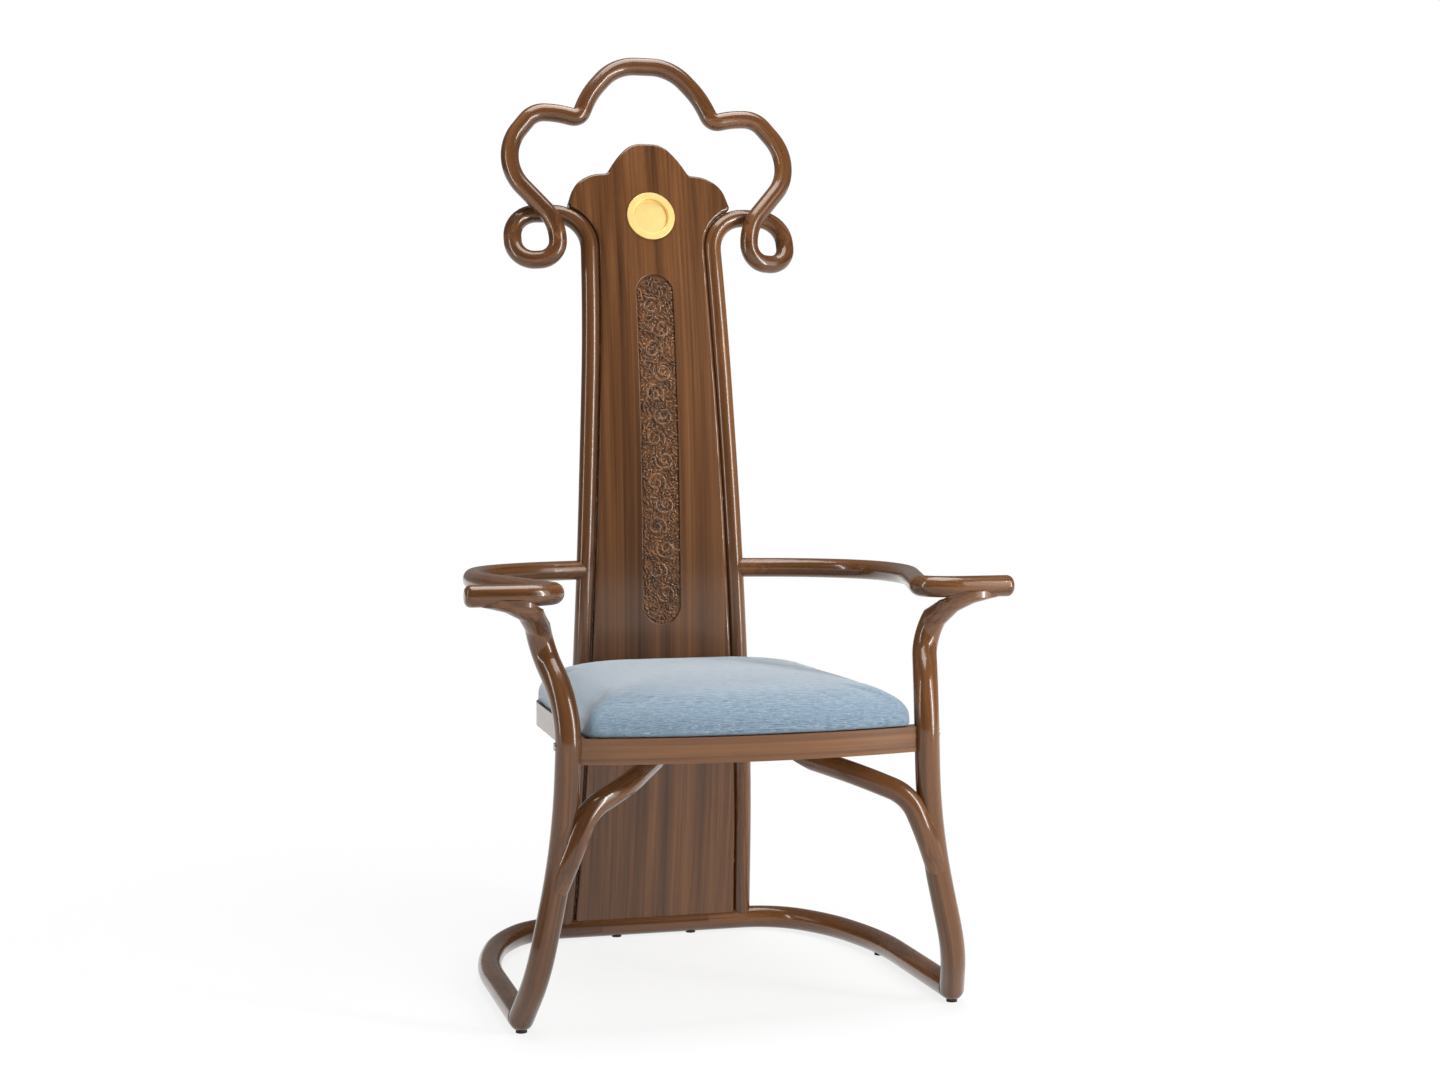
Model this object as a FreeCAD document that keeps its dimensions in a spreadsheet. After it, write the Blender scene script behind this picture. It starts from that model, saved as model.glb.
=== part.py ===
import FreeCAD, Part
import math
import os
import Sketcher

# Ceremonial armchair with a plank back, round bent rods and a three-lobed crest.
# Millimetres. The chair faces -Y, +Z is up, and the right-hand pieces lie at +X. All places are
# taken from the waist of the back, and every piece is then moved back by the setback.

Vector = FreeCAD.Vector
UP = Vector(0, 0, 1)
ACROSS = Vector(1, 0, 0)
BEHIND = Vector(0, 1, 0)

SIZES = {
    # back: its side profile, as rake behind the waist at a height
    "setback": 218.5,
    "foot_rake": 56.0,
    "low_bend_height": 285.0,
    "high_bend_height": 660.0,
    "shoulder_rake": 31.0,
    "shoulder_height": 1000.0,
    "head_rake": 107.0,
    "head_height": 1310.0,
    "foot_spread": 151.0,
    "shoulder_spread": 107.0,
    "panel_thickness": 22.0,
    "panel_round": 5.0,
    # rods and fits
    "stile_diameter": 29.0,
    "leg_diameter": 36.0,
    "floor_rail_diameter": 36.0,
    "arm_diameter": 31.0,
    "brace_diameter": 32.0,
    "bend_share": 0.98,
    "seam": 0.25,
    "pin_gap": 0.15,
    "overrun": 60.0,
    # crest rod: half widths and heights of its corners
    "crest_depth": 51.0,
    "crest_datum": 1149.0,
    "crest_lean": 13.5,
    "shoulder_radius": 58.0,
    "curl_start": 101.5,
    "curl_out": 229.0,
    "curl_in": 160.0,
    "curl_top": 1191.0,
    "curl_neck": 1167.0,
    "curl_low": 1109.0,
    "cloud_out": 230.5,
    "cloud_low": 1247.0,
    "cloud_high": 1302.0,
    "cloud_in": 188.0,
    "cloud_end": 150.0,
    "cloud_top": 1352.5,
    "valley_half": 112.5,
    "valley_height": 1344.0,
    "valley_radius": 15.5,
    "arch_half": 93.5,
    "arch_side": 1386.0,
    "arch_in": 47.0,
    "arch_top": 1436.0,
    # head of the panel
    "head_tip": 137.0,
    "head_tip_round": 7.0,
    "lobe_half": 124.0,
    "lobe_side": 1235.0,
    "lobe_in": 95.0,
    "lobe_top": 1251.5,
    "notch_half": 69.0,
    "notch_height": 1253.5,
    "notch_radius": 8.0,
    "crown_half": 50.0,
    "crown_side": 1282.0,
    "crown_in": 25.0,
    "head_top": 1305.0,
    # recess with the carved strip
    "slot_width": 62.0,
    "slot_low": 519.0,
    "slot_high": 1086.5,
    "slot_depth": 8.0,
    "slot_round": 1.2,
    "relief_thickness": 4.0,
    # brass disc
    "disc_height": 1182.5,
    "disc_radius": 40.0,
    "disc_thickness": 8.0,
    "disc_proud": 2.5,
    "dish_radius": 29.5,
    "dish_foot": 28.0,
    "dish_depth": 5.0,
    "disc_round": 1.0,
    "disc_pin_radius": 3.0,
    "disc_pin_length": 12.0,
    # floor rail and legs
    "glide_height": 5.0,
    "glide_proud": 2.0,
    "glide_radius": 8.0,
    "floor_rail_spread": 318.0,
    "floor_rail_joint": 90.0,
    "leg_spread": 320.0,
    "leg_standoff": 20.0,
    "leg_depth": 533.0,
    "toe_spread": 319.0,
    "toe_depth": 485.0,
    "rail_standoff": 6.0,
    # arms
    "arm_height": 610.5,
    "arm_reach": 399.5,
    "arm_depth": 510.5,
    "arm_standoff": 6.0,
    "arm_tip_round": 9.0,
    "flare_width": 84.0,
    "flare_thickness": 29.0,
    # seat
    "seat_underside": 378.0,
    "seat_rail_height": 36.0,
    "seat_rail_thickness": 24.0,
    "seat_front_half": 239.0,
    "seat_rear_half": 224.0,
    "seat_corner_depth": 538.0,
    "seat_bow": 30.0,
    "seat_corner_radius": 110.0,
    "rail_ear": 12.0,
    "board_thickness": 9.0,
    "rear_joint_inset": 4.0,
    "cross_rail_depth": 424.0,
    "cross_rail_width": 70.0,
    "front_block_side": 95.0,
    "rear_block_side": 150.0,
    "cushion_height": 66.0,
    "cushion_corner": 14.0,
    "cushion_setback": 1.5,
    "soft_gap": 0.3,
    # braces
    "brace_end_depth": 385.0,
    "scarf_angle": 16.0,
    # fasteners and dowels
    "dowel_radius": 5.0,
    "dowel_length": 36.0,
    "stout_dowel_radius": 6.0,
    "stout_dowel_length": 44.0,
    "screw_radius": 2.5,
    "screw_head_radius": 4.5,
    "screw_head_height": 3.0,
    "screw_length": 38.0,
    "bolt_radius": 3.0,
    "bolt_head_radius": 5.5,
    "bolt_head_height": 4.0,
    "bolt_length": 50.0,
    "crest_dowel_length": 16.0,
    "board_screw_length": 24.0,
    "head_sink": 1.5,
}

doc = FreeCAD.newDocument("armchair")
size = doc.addObject("Spreadsheet::Sheet", "sizes")
for row, (name, value) in enumerate(SIZES.items(), start=1):
    size.set(f"A{row}", name)
    size.set(f"B{row}", str(value))
    size.setAlias(f"B{row}", name)
doc.recompute()

SETBACK = FreeCAD.Placement(Vector(0, size.setback, 0), FreeCAD.Rotation())
nodes = []


# Paths and rods

def line(start, end):
    return Part.LineSegment(start, end).toShape()


def bend(points, radii=None):
    """Straight runs joined by tangent arcs. A corner with no radius takes its share of the shorter run."""
    radii = radii or {}
    edges = []
    start = points[0]
    for index in range(1, len(points) - 1):
        corner = points[index]
        back = points[index - 1] - corner
        ahead = points[index + 1] - corner
        half_angle = back.getAngle(ahead) / 2
        reach = size.bend_share * min(back.Length, ahead.Length) / 2
        if index in radii:
            reach = radii[index] / math.tan(half_angle)
        radius = reach * math.tan(half_angle)
        back.normalize()
        ahead.normalize()
        inward = (back + ahead).normalize()
        centre = corner + inward * (radius / math.sin(half_angle))
        first = corner + back * reach
        last = corner + ahead * reach
        edges.append(line(start, first))
        edges.append(Part.Arc(first, centre - inward * radius, last).toShape())
        start = last
    edges.append(line(start, points[-1]))
    return edges


def heading(edge, share=0.0):
    """Place and direction at a share of an edge's length."""
    parameter = edge.FirstParameter + share * (edge.LastParameter - edge.FirstParameter)
    return edge.valueAt(parameter), edge.tangentAt(parameter)


def rod(edges, diameter):
    start, direction = heading(edges[0])
    circle = Part.Wire(Part.makeCircle(diameter / 2, start, direction))
    return Part.Wire(edges).makePipeShell([circle], True, False)


def shifted(edge, axis, distance):
    """The edge of a flat path moved sideways, which keeps arcs concentric."""
    places = []
    for share in (0.0, 0.5, 1.0):
        place, direction = heading(edge, share)
        places.append(place + direction.cross(axis).normalize() * distance)
    if edge.Curve.TypeId == "Part::GeomLine":
        return line(places[0], places[2])
    return Part.Arc(*places).toShape()


def strip(edges, axis, near, far):
    """Flat face between two sideways shifts of a path."""
    first = [shifted(edge, axis, near) for edge in edges]
    second = [shifted(edge, axis, far) for edge in edges]
    caps = []
    for one, other, share in ((first[0], second[0], 0.0), (first[-1], second[-1], 1.0)):
        caps.append(line(heading(one, share)[0], heading(other, share)[0]))
    return Part.Face(Part.Wire(Part.__sortEdges__(first + second + caps)))


def mirrored(points):
    return [Vector(-point.x, point.y, point.z) for point in points]


def pin(place, direction, radius, length):
    """Cylinder whose middle is at the place."""
    axis = Vector(direction).normalize()
    return Part.makeCylinder(radius, length, place - axis * (length / 2), axis)


def keep(label, shape):
    """A sub-part with its own label and placement."""
    node = doc.addObject("Part::Feature", label)
    node.Label = label
    node.Shape = shape.removeSplitter() if shape.ShapeType == "Solid" else shape
    node.Placement = SETBACK
    nodes.append(node)
    return node


def keep_pair(label, shape):
    """The right-hand sub-part and its mirror image."""
    right = keep(f"right_{label}", shape)
    left = doc.addObject("Part::Mirroring", f"left_{label}")
    left.Label = f"left_{label}"
    left.Source = right
    left.Normal = ACROSS
    left.Base = Vector(0, 0, 0)
    nodes.append(left)


def both(shapes):
    """The shapes and their mirror images, as one list."""
    return shapes + [shape.mirror(Vector(0, 0, 0), ACROSS) for shape in shapes]


# Side profile of the back, and the flat frame of its head

foot = Vector(0, size.foot_rake, 0)
low_bend = Vector(0, 0, size.low_bend_height)
high_bend = Vector(0, 0, size.high_bend_height)
shoulder = Vector(0, size.shoulder_rake, size.shoulder_height)
head = Vector(0, size.head_rake, size.head_height)
profile = bend([foot, low_bend, high_bend, shoulder, head])

head_up = (head - shoulder).normalize()
head_front = ACROSS.cross(head_up)
head_lean = math.degrees(math.atan2(head_up.y, head_up.z))
head_frame = FreeCAD.Placement(shoulder, FreeCAD.Rotation(ACROSS, 90 - head_lean))


def on_head(point):
    """Place on the flat of the head: x, and the way up from the shoulder."""
    return Vector(point.x, (point - shoulder).dot(head_up), 0)


def up_head(height):
    return (height - size.shoulder_height) / head_up.z


def profile_at(height):
    """Middle of the back at a height."""
    for edge in profile:
        low, high = heading(edge)[0], heading(edge, 1.0)[0]
        if low.z <= height <= high.z:
            break
    if edge.Curve.TypeId == "Part::GeomLine":
        share = (height - low.z) / (high.z - low.z)
        return low + (high - low) * share
    centre = edge.Curve.Center
    rise = height - centre.z
    side = math.copysign(1, heading(edge, 0.5)[0].y - centre.y)
    return Vector(0, centre.y + side * math.sqrt(edge.Curve.Radius ** 2 - rise ** 2), height)


# Stile and crest rod, one route from the floor rail to the middle of the crest

floor_rail_height = size.glide_proud + size.floor_rail_diameter / 2
splay = (size.foot_spread - size.shoulder_spread) / on_head(foot).y


def on_stile(point):
    """The same place of the profile, out at the stile."""
    return Vector(size.shoulder_spread + splay * on_head(point).y, point.y, point.z)


def on_crest(across, height, lift_share):
    """Place on the leaning crest, lifted behind it by a share of the rod's diameter."""
    lean = math.radians(size.crest_lean)
    back = size.crest_depth + (height - size.crest_datum) * math.tan(lean)
    lift = lift_share * size.stile_diameter
    return Vector(across, back + lift * math.cos(lean), height - lift * math.sin(lean))


crest_corners = (
    (size.curl_start, size.curl_top),
    (size.curl_out, size.curl_top),
    (size.curl_out, size.curl_low),
    (size.curl_in, size.curl_low),
    (size.curl_in, size.curl_neck),
    (size.cloud_out, size.cloud_low),
    (size.cloud_out, size.cloud_high),
    (size.cloud_in, size.cloud_top),
    (size.cloud_end, size.cloud_top),
    (size.valley_half, size.valley_height),
    (size.arch_half, size.arch_side),
    (size.arch_in, size.arch_top),
)
# the curl passes behind the rod it crosses, so its corners lie off the plane of the crest
lift_shares = (0.51, 0.80, 0.32, -0.26, -0.43, -0.09, 0, 0, 0, 0, 0, 0)
crest_points = [on_crest(*corner, share) for corner, share in zip(crest_corners, lift_shares)]
stile_foot = profile_at(floor_rail_height)
stile_points = [on_stile(point) for point in (stile_foot, low_bend, high_bend, shoulder)]
far_side = mirrored(crest_points[::-1])[:4]
route = stile_points + crest_points + far_side
bend_radii = {4: size.shoulder_radius, 13: size.valley_radius, 18: size.valley_radius}
route_edges = bend(route, bend_radii)
# each corner of the route gives two edges, the run before it and its own arc
stile_edges = route_edges[0:10]
curl_edges = route_edges[10:14]
lobe_edges = route_edges[14:26]
arch_edges = route_edges[26:35]
rear_strand = route_edges[8]
front_strand = route_edges[16]


# Floor rail, leg, arm and brace routes

rail_back = Vector(0, stile_foot.y, floor_rail_height)
rail_depth = size.toe_depth + rail_back.y
rail_bend_shares = ((0.654, 0), (0.874, 0.172), (1.0, 0.437))
rail_points = [rail_back + ACROSS * size.floor_rail_joint]
for across, forward in rail_bend_shares:
    rail_points.append(rail_back + Vector(across * size.floor_rail_spread, -forward * rail_depth, 0))
rail_points.append(Vector(size.toe_spread, -size.toe_depth + size.rail_standoff, floor_rail_height))
rail_edges = bend(rail_points)

leg_height = size.arm_height - size.arm_diameter / 2
toe = Vector(size.toe_spread, -size.toe_depth, size.glide_proud + size.leg_diameter / 2)
# the legs draw in to the seat frame, and each row starts with the share of the way out from there
leg_waist = size.seat_front_half + size.leg_standoff
leg_shares = (
    (0.738, 0.997, 0.147),
    (0.105, 0.992, 0.450),
    (0.0, 1.001, 0.760),
    (0.414, 0.852, 0.899),
    (0.69, 0.938, 1.0),
)


def outwards(share):
    return leg_waist + share * (size.leg_spread - leg_waist)


leg_points = [toe]
for outward, forward, up in leg_shares:
    leg_points.append(Vector(outwards(outward), -forward * size.leg_depth, up * leg_height))
leg_edges = bend(leg_points)

arm_root = on_stile(profile_at(size.arm_height))
arm_shares = ((0.590, 0.056), (0.811, 0.206), (0.857, 0.453), (0.666, 0.957), (0.753, 1.002), (1.0, 1.0))
arm_points = [arm_root + ACROSS * size.arm_standoff]
for across, forward in arm_shares:
    arm_points.append(Vector(across * size.arm_reach, -forward * size.arm_depth, size.arm_height))
arm_edges = bend(arm_points)

brace_foot_shares = (0.414, 0.994, 0.503)
brace_shares = ((0.985, 1.015, 0.698), (0.904, 1.0, 0.833), (0.658, 0.938, 0.904))
outward, forward, up = brace_foot_shares
brace_points = [Vector(outwards(outward), -forward * size.leg_depth, up * size.seat_underside)]
for across, forward, up in brace_shares:
    brace_points.append(Vector(across * leg_waist, -forward * size.leg_depth, up * size.seat_underside))
brace_end_share = 0.385
brace_drop_share = 0.48
brace_end_height = size.seat_underside - brace_drop_share * size.brace_diameter
brace_points.append(Vector(brace_end_share * leg_waist, -size.brace_end_depth, brace_end_height))
brace_edges = bend(brace_points)


# Solids that neighbours are fitted round, a seam larger than the rods

fit = 2 * size.seam
stile_room = rod(stile_edges, size.stile_diameter + fit)
leg_room = rod(leg_edges, size.leg_diameter + fit)
toe_room = Part.makeSphere(size.leg_diameter / 2 + size.seam, toe)
arm_room = rod(arm_edges, size.arm_diameter + fit)
rail_run = rail_back + ACROSS * size.floor_rail_joint
full_rail_edges = [line(mirrored([rail_run])[0], rail_run)]
rail_room = rod(full_rail_edges + rail_edges, size.floor_rail_diameter + fit)


# Dowels, screws and bolts: a group is a list of places, each with its direction

class Pins:
    """Like dowels, each with its middle at a place."""

    def __init__(self, label, radius, length):
        self.label = label
        self.radius = radius
        self.length = length
        self.places = []

    def add(self, place, direction):
        self.places.append((place, Vector(direction).normalize()))

    def solids(self):
        return [pin(place, way, self.radius, self.length) for place, way in self.places]

    def holes(self):
        radius = self.radius + size.pin_gap
        length = self.length + 2 * size.pin_gap
        return [pin(place, way, radius, length) for place, way in self.places]


class Screws(Pins):
    """Like screws or bolts, each with the top of its head at a place."""

    def __init__(self, label, radius, length, head_radius, head_height):
        super().__init__(label, radius, length)
        self.head_radius = head_radius
        self.head_height = head_height

    def solids(self):
        made = []
        for place, way in self.places:
            shank = Part.makeCylinder(self.radius, self.length, place, way)
            made.append(shank.fuse(Part.makeCylinder(self.head_radius, self.head_height, place, way)))
        return made

    def holes(self):
        made = []
        for place, way in self.places:
            radius = self.radius + size.pin_gap
            shank = Part.makeCylinder(radius, self.length + size.pin_gap, place, way)
            start = place - way * size.bolt_length
            depth = size.bolt_length + self.head_height
            made.append(shank.fuse(Part.makeCylinder(self.head_radius + size.pin_gap, depth, start, way)))
        return made


def dowels(label):
    return Pins(label, size.dowel_radius, size.dowel_length)


def stout_dowels(label):
    return Pins(label, size.stout_dowel_radius, size.stout_dowel_length)


def wood_screws(label):
    head = (size.screw_head_radius, size.screw_head_height)
    return Screws(label, size.screw_radius, size.screw_length, *head)


def bolts(label):
    head = (size.bolt_head_radius, size.bolt_head_height)
    return Screws(label, size.bolt_radius, size.bolt_length, *head)


# arm to stile, arm to leg, and the floor rail's tenons and joints
arm_dowels = dowels("arm_dowels")
arm_start, arm_way = heading(arm_edges[0])
arm_dowels.add(arm_start + arm_way * (size.stile_diameter / 2 - size.arm_standoff), arm_way)

leg_dowels = dowels("leg_top_dowels")
hand_share = 0.2
hand_axis, hand_way = heading(arm_edges[-1], hand_share)
hand = hand_axis - UP * (size.arm_diameter / 2)
neck, neck_way = heading(leg_edges[-2], 1.0)
# the leg curls outwards to meet the arm, and its dowel leans the same way to stay inside
dowel_foot_shares = (0.29, 0.6, 0.46)
dowel_head_share = 0.1
across, forward, up = dowel_foot_shares
climb = hand - neck
dowel_foot = neck + Vector(across * climb.x, forward * climb.y, up * climb.z)
dowel_head = hand_axis - hand_way * (dowel_head_share * size.flare_width)
leg_dowels.add((dowel_foot + dowel_head) / 2, dowel_head - dowel_foot)

floor_dowels = stout_dowels("floor_rail_dowels")
foot_joint = on_stile(stile_foot) + UP * (size.floor_rail_diameter / 2)
foot_way = heading(stile_edges[0])[1]
floor_dowels.add(foot_joint, foot_way)
floor_dowels.add(rail_run, ACROSS)
toe_way = heading(rail_edges[-1])[1]
rail_end = heading(rail_edges[-1], 1.0)[0]
floor_dowels.add(rail_end - toe_way * (size.leg_diameter / 2 - size.rail_standoff), toe_way)
panel_foot_dowels = stout_dowels("panel_foot_dowels")
panel_foot_dowels.add(foot_joint - ACROSS * (foot_joint.x - size.floor_rail_joint / 2), foot_way)

# crest joints, and screws through the two strands where each curl crosses
crest_dowels = Pins("crest_dowels", size.dowel_radius, size.crest_dowel_length)
for edge in (stile_edges[-1], lobe_edges[0], lobe_edges[-1]):
    place, way = heading(edge, 0.0 if edge is lobe_edges[0] else 1.0)
    crest_dowels.add(place, way)

crossing_screws = wood_screws("crossing_screws")
crossing_line = rear_strand.distToShape(front_strand)
rear_point, front_point = crossing_line[1][0]
crossing_way = (front_point - rear_point).normalize()
head_seat = size.stile_diameter / 2 - size.head_sink
crossing_screws.add(rear_point - crossing_way * head_seat, crossing_way)

# panel to stiles
panel_dowels = dowels("panel_dowels")
below_arm_shares = (0.2, 0.69)
above_arm_shares = (0.29, 0.92)
panel_dowel_heights = [share * size.arm_height for share in below_arm_shares]
for share in above_arm_shares:
    panel_dowel_heights.append(size.arm_height + share * (size.shoulder_height - size.arm_height))
for height in panel_dowel_heights:
    joint = on_stile(profile_at(height))
    panel_dowels.add(joint - ACROSS * (size.stile_diameter / 2), ACROSS)

# seat frame to stiles and legs, and its own joints
bolt_share = 0.72
bolt_height = size.seat_underside + bolt_share * size.seat_rail_height
dowel_height = size.seat_underside + (1 - bolt_share) * size.seat_rail_height
stile_bolts = bolts("stile_bolts")
stile_bolts.add(on_stile(profile_at(bolt_height)) + BEHIND * head_seat, -BEHIND)

leg_bolts = bolts("leg_bolts")
rail_end_share = 0.35
leg_bolt_depth = size.seat_corner_depth - rail_end_share * size.seat_rail_thickness
leg_face = leg_points[2].x + size.leg_diameter / 2 - 2 * size.head_sink
leg_bolts.add(Vector(leg_face, -leg_bolt_depth, bolt_height), -ACROSS)

rear_joint = size.seat_rear_half - size.seat_corner_radius - size.rear_joint_inset
seat_rear = size.stile_diameter / 2 + size.seam
side_slope = (size.seat_front_half - size.seat_rear_half) / size.seat_corner_depth
side_middle = size.seat_front_half - size.seat_rail_thickness / 2
board_underside = size.seat_underside + size.seat_rail_height - size.board_thickness
cross_rail_end = size.seat_rear_half + side_slope * size.cross_rail_depth - size.seat_rail_thickness
cross_rail_middle = (size.seat_underside + board_underside) / 2
seat_dowels = dowels("seat_frame_dowels")
seat_dowels.add(Vector(rear_joint, -seat_rear - size.seat_rail_thickness / 2, dowel_height), ACROSS)
front_joint = -size.seat_corner_depth + size.seat_rail_thickness
seat_dowels.add(Vector(side_middle, front_joint, dowel_height), BEHIND)
seat_dowels.add(Vector(cross_rail_end, -size.cross_rail_depth, cross_rail_middle), ACROSS)

board_top = size.seat_underside + size.seat_rail_height
board_screws = Screws(
    "seat_board_screws",
    size.screw_radius,
    size.board_screw_length,
    size.screw_head_radius,
    size.screw_head_height,
)
front_step_share = 0.38
rear_step_share = 0.42
front_step = size.front_block_side * front_step_share
rear_step = size.rear_block_side * rear_step_share
board_screw_places = (
    (size.shoulder_spread, -size.cross_rail_depth),
    (size.seat_front_half - front_step, -size.seat_corner_depth + front_step),
    (size.seat_rear_half - rear_step, -seat_rear - rear_step),
)
for across, forward in board_screw_places:
    board_screws.add(Vector(across, forward, board_top - size.head_sink), -UP)

brace_screws = wood_screws("brace_screws")
brace_screw_share = 0.7
brace_place = heading(brace_edges[-1], brace_screw_share)[0]
brace_screws.add(brace_place - UP * (size.brace_diameter / 2 - 2 * size.head_sink), UP)


# Back panel: its outline on the flat of the head, kept within the curved thickness of the back

profile_long = bend([stile_foot, low_bend, high_bend, shoulder, head + head_up * size.overrun])


def outline_prism(edges):
    """Solid that runs right through the back, square to its head."""
    face = Part.Face(Part.Wire(Part.__sortEdges__(edges)))
    reach = size.shoulder_height / 2
    face.translate(Vector(0, 0, -reach))
    solid = face.extrude(Vector(0, 0, 2 * reach))
    solid.Placement = head_frame.multiply(solid.Placement)
    return solid


def slab(near, far):
    """Layer of the back between two depths, counted from the middle of its thickness."""
    face = strip(profile_long, ACROSS, near, far)
    width = 2 * size.foot_spread
    face.translate(Vector(-width / 2, 0, 0))
    return face.extrude(Vector(width, 0, 0))


def make_panel_blank():
    flat_route = [on_head(point) for point in (stile_points[0], stile_points[3], route[4], route[5])]
    flat_route[0] = flat_route[0] + (flat_route[0] - flat_route[1]).normalize() * size.overrun
    flat_edges = bend(flat_route, {2: size.shoulder_radius})
    clear = -(size.stile_diameter / 2 + size.seam)
    side = [shifted(edge, UP, clear) for edge in flat_edges[:4]]
    neck = side.pop()
    centre, radius = neck.Curve.Center, neck.Curve.Radius
    neck_start = heading(side[-1], 1.0)[0]
    tip = Vector(size.head_tip, centre.y + math.sqrt(radius ** 2 - (centre.x - size.head_tip) ** 2), 0)
    neck_middle = centre + (neck_start - centre + tip - centre).normalize() * radius
    side.append(Part.Arc(neck_start, neck_middle, tip).toShape())
    half = [
        tip,
        Vector(size.lobe_half, up_head(size.lobe_side), 0),
        Vector(size.lobe_in, up_head(size.lobe_top), 0),
        Vector(size.notch_half, up_head(size.notch_height), 0),
        Vector(size.crown_half, up_head(size.crown_side), 0),
        Vector(size.crown_in, up_head(size.head_top), 0),
    ]
    notches = {3: size.notch_radius, 8: size.notch_radius}
    top = bend(half + mirrored(half[::-1]), notches)
    other_side = [edge.mirror(Vector(0, 0, 0), ACROSS) for edge in side]
    start = heading(side[0])[0]
    foot_line = line(mirrored([start])[0], start)
    blank = outline_prism(side + top + other_side + [foot_line])
    tips = []
    for edge in blank.Edges:
        middle = head_frame.inverse().multVec(edge.CenterOfMass)
        if abs(abs(middle.x) - size.head_tip) < size.seam and abs(middle.y - tip.y) < size.seam:
            tips.append(edge)
    blank = blank.makeFillet(size.head_tip_round, tips)
    return blank.common(slab(-size.panel_thickness / 2, size.panel_thickness / 2))


def rim_edges(blank):
    """The outline's edges on the front and the back, without the lines that run right across them."""
    square_share = 0.99
    found = []
    for edge in blank.Edges:
        direction = heading(edge, 0.5)[1]
        through = abs(direction.dot(head_front)) > square_share
        right_across = abs(direction.x) > square_share and edge.Length > size.foot_spread
        if not through and not right_across:
            found.append(edge)
    return found


def slot_prism(clearance):
    radius = size.slot_width / 2 - clearance
    low = on_head(profile_at(size.slot_low)).y + size.slot_width / 2
    high = on_head(profile_at(size.slot_high)).y - size.slot_width / 2
    right, left = Vector(radius, 0, 0), Vector(-radius, 0, 0)
    bottom, top = Vector(0, low, 0), Vector(0, high, 0)
    edges = [
        line(bottom + right, top + right),
        Part.Arc(top + right, top + Vector(0, radius, 0), top + left).toShape(),
        line(top + left, bottom + left),
        Part.Arc(bottom + left, bottom - Vector(0, radius, 0), bottom + right).toShape(),
    ]
    return outline_prism(edges)


def slot_rim(panel):
    """The edges of the recess that lie on the front of the back."""
    reach = slot_prism(-size.seam)
    skin = slab(front - size.seam, front + size.seam)
    return [edge for edge in panel.Edges if edge.common(reach).common(skin).Length > size.slot_width / 2]


panel_blank = make_panel_blank()
panel = panel_blank.makeFillet(size.panel_round, rim_edges(panel_blank))
front = -size.panel_thickness / 2
slot_floor = front + size.slot_depth
panel = panel.cut(slot_prism(0).common(slab(front - size.slot_depth, slot_floor)))
panel = panel.makeFillet(size.slot_round, slot_rim(panel))
disc_floor = size.panel_thickness / 2 + size.disc_proud - size.disc_thickness
disc_up = up_head(size.disc_height)
disc_seat = Part.makeCylinder(size.disc_radius + size.seam, size.overrun, Vector(0, disc_up, disc_floor))
pin_foot = Vector(0, disc_up, disc_floor - size.disc_pin_length)
pin_hole = Part.makeCylinder(size.disc_pin_radius + size.pin_gap, size.overrun, pin_foot)
disc_seat = disc_seat.fuse(pin_hole)
disc_seat.Placement = head_frame
panel_holes = [rail_room] + panel_dowels.holes() + panel_foot_dowels.holes()
panel = panel.cut([disc_seat] + both(panel_holes))
keep("back_panel", panel)

relief = slot_prism(size.seam).common(slab(slot_floor - size.relief_thickness, slot_floor))
keep("carved_relief", relief)


# Stiles, curls and the cloud-shaped crest

crest_holes = crest_dowels.holes() + crossing_screws.holes()
stile = rod(stile_edges, size.stile_diameter)
stile_holes = floor_dowels.holes() + panel_dowels.holes() + arm_dowels.holes() + stile_bolts.holes()
stile = stile.cut([rail_room] + stile_holes + crest_holes)
keep_pair("stile", stile)

curl = rod(curl_edges, size.stile_diameter).cut(crest_holes)
keep_pair("curl", curl)

lobe = rod(lobe_edges, size.stile_diameter).cut(crest_holes)
keep_pair("crest_lobe", lobe)

arch = rod(arch_edges, size.stile_diameter).cut(both(crest_dowels.holes()))
keep("crest_arch", arch)


# Arms, and the legs that flare into them

def make_arm():
    blank = rod(arm_edges, size.arm_diameter)
    tip = arm_points[-1]
    rim = [edge for edge in blank.Edges if (edge.CenterOfMass - tip).Length < size.arm_standoff]
    blank = blank.makeFillet(size.arm_tip_round, rim)
    return blank.cut([stile_room] + arm_dowels.holes() + leg_dowels.holes())


def flare_section(centre, along, normal, long_radius, short_radius):
    side = normal.cross(along)
    frame = FreeCAD.Placement(centre, FreeCAD.Rotation(along, side, normal, "ZXY"))
    if long_radius > short_radius:
        curve = Part.Ellipse(Vector(0, 0, 0), long_radius, short_radius).toShape()
    else:
        curve = Part.makeCircle(long_radius)
    wire = Part.Wire(curve)
    wire.Placement = frame
    return wire


# each row: shares of the way up and of the way across from the neck to the arm, the width and the thickness
flare_shares = ((0.5, 0.25, 0.45, 0.97), (0.8, 0.55, 0.66, 0.94), (1.0, 1.0, 0.93, 0.9))
flare_top_share = 0.3


def flare_sections():
    neck_radius = size.leg_diameter / 2
    neck_along = (hand_way - neck_way * hand_way.dot(neck_way)).normalize()
    sections = [flare_section(neck, neck_along, neck_way, neck_radius, neck_radius)]
    for share, across, width, thickness in flare_shares:
        normal = (neck_way * (1 - share) + UP * share).normalize()
        along = (hand_way - normal * hand_way.dot(normal)).normalize()
        centre = neck + climb * share + ACROSS * ((across - share) * climb.x)
        half_width = width * size.flare_width / 2
        sections.append(flare_section(centre, along, normal, half_width, thickness * neck_radius))
    inside_arm = hand + UP * (flare_top_share * size.arm_diameter)
    sections.append(flare_section(inside_arm, hand_way, UP, half_width, thickness * neck_radius))
    return sections


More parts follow.
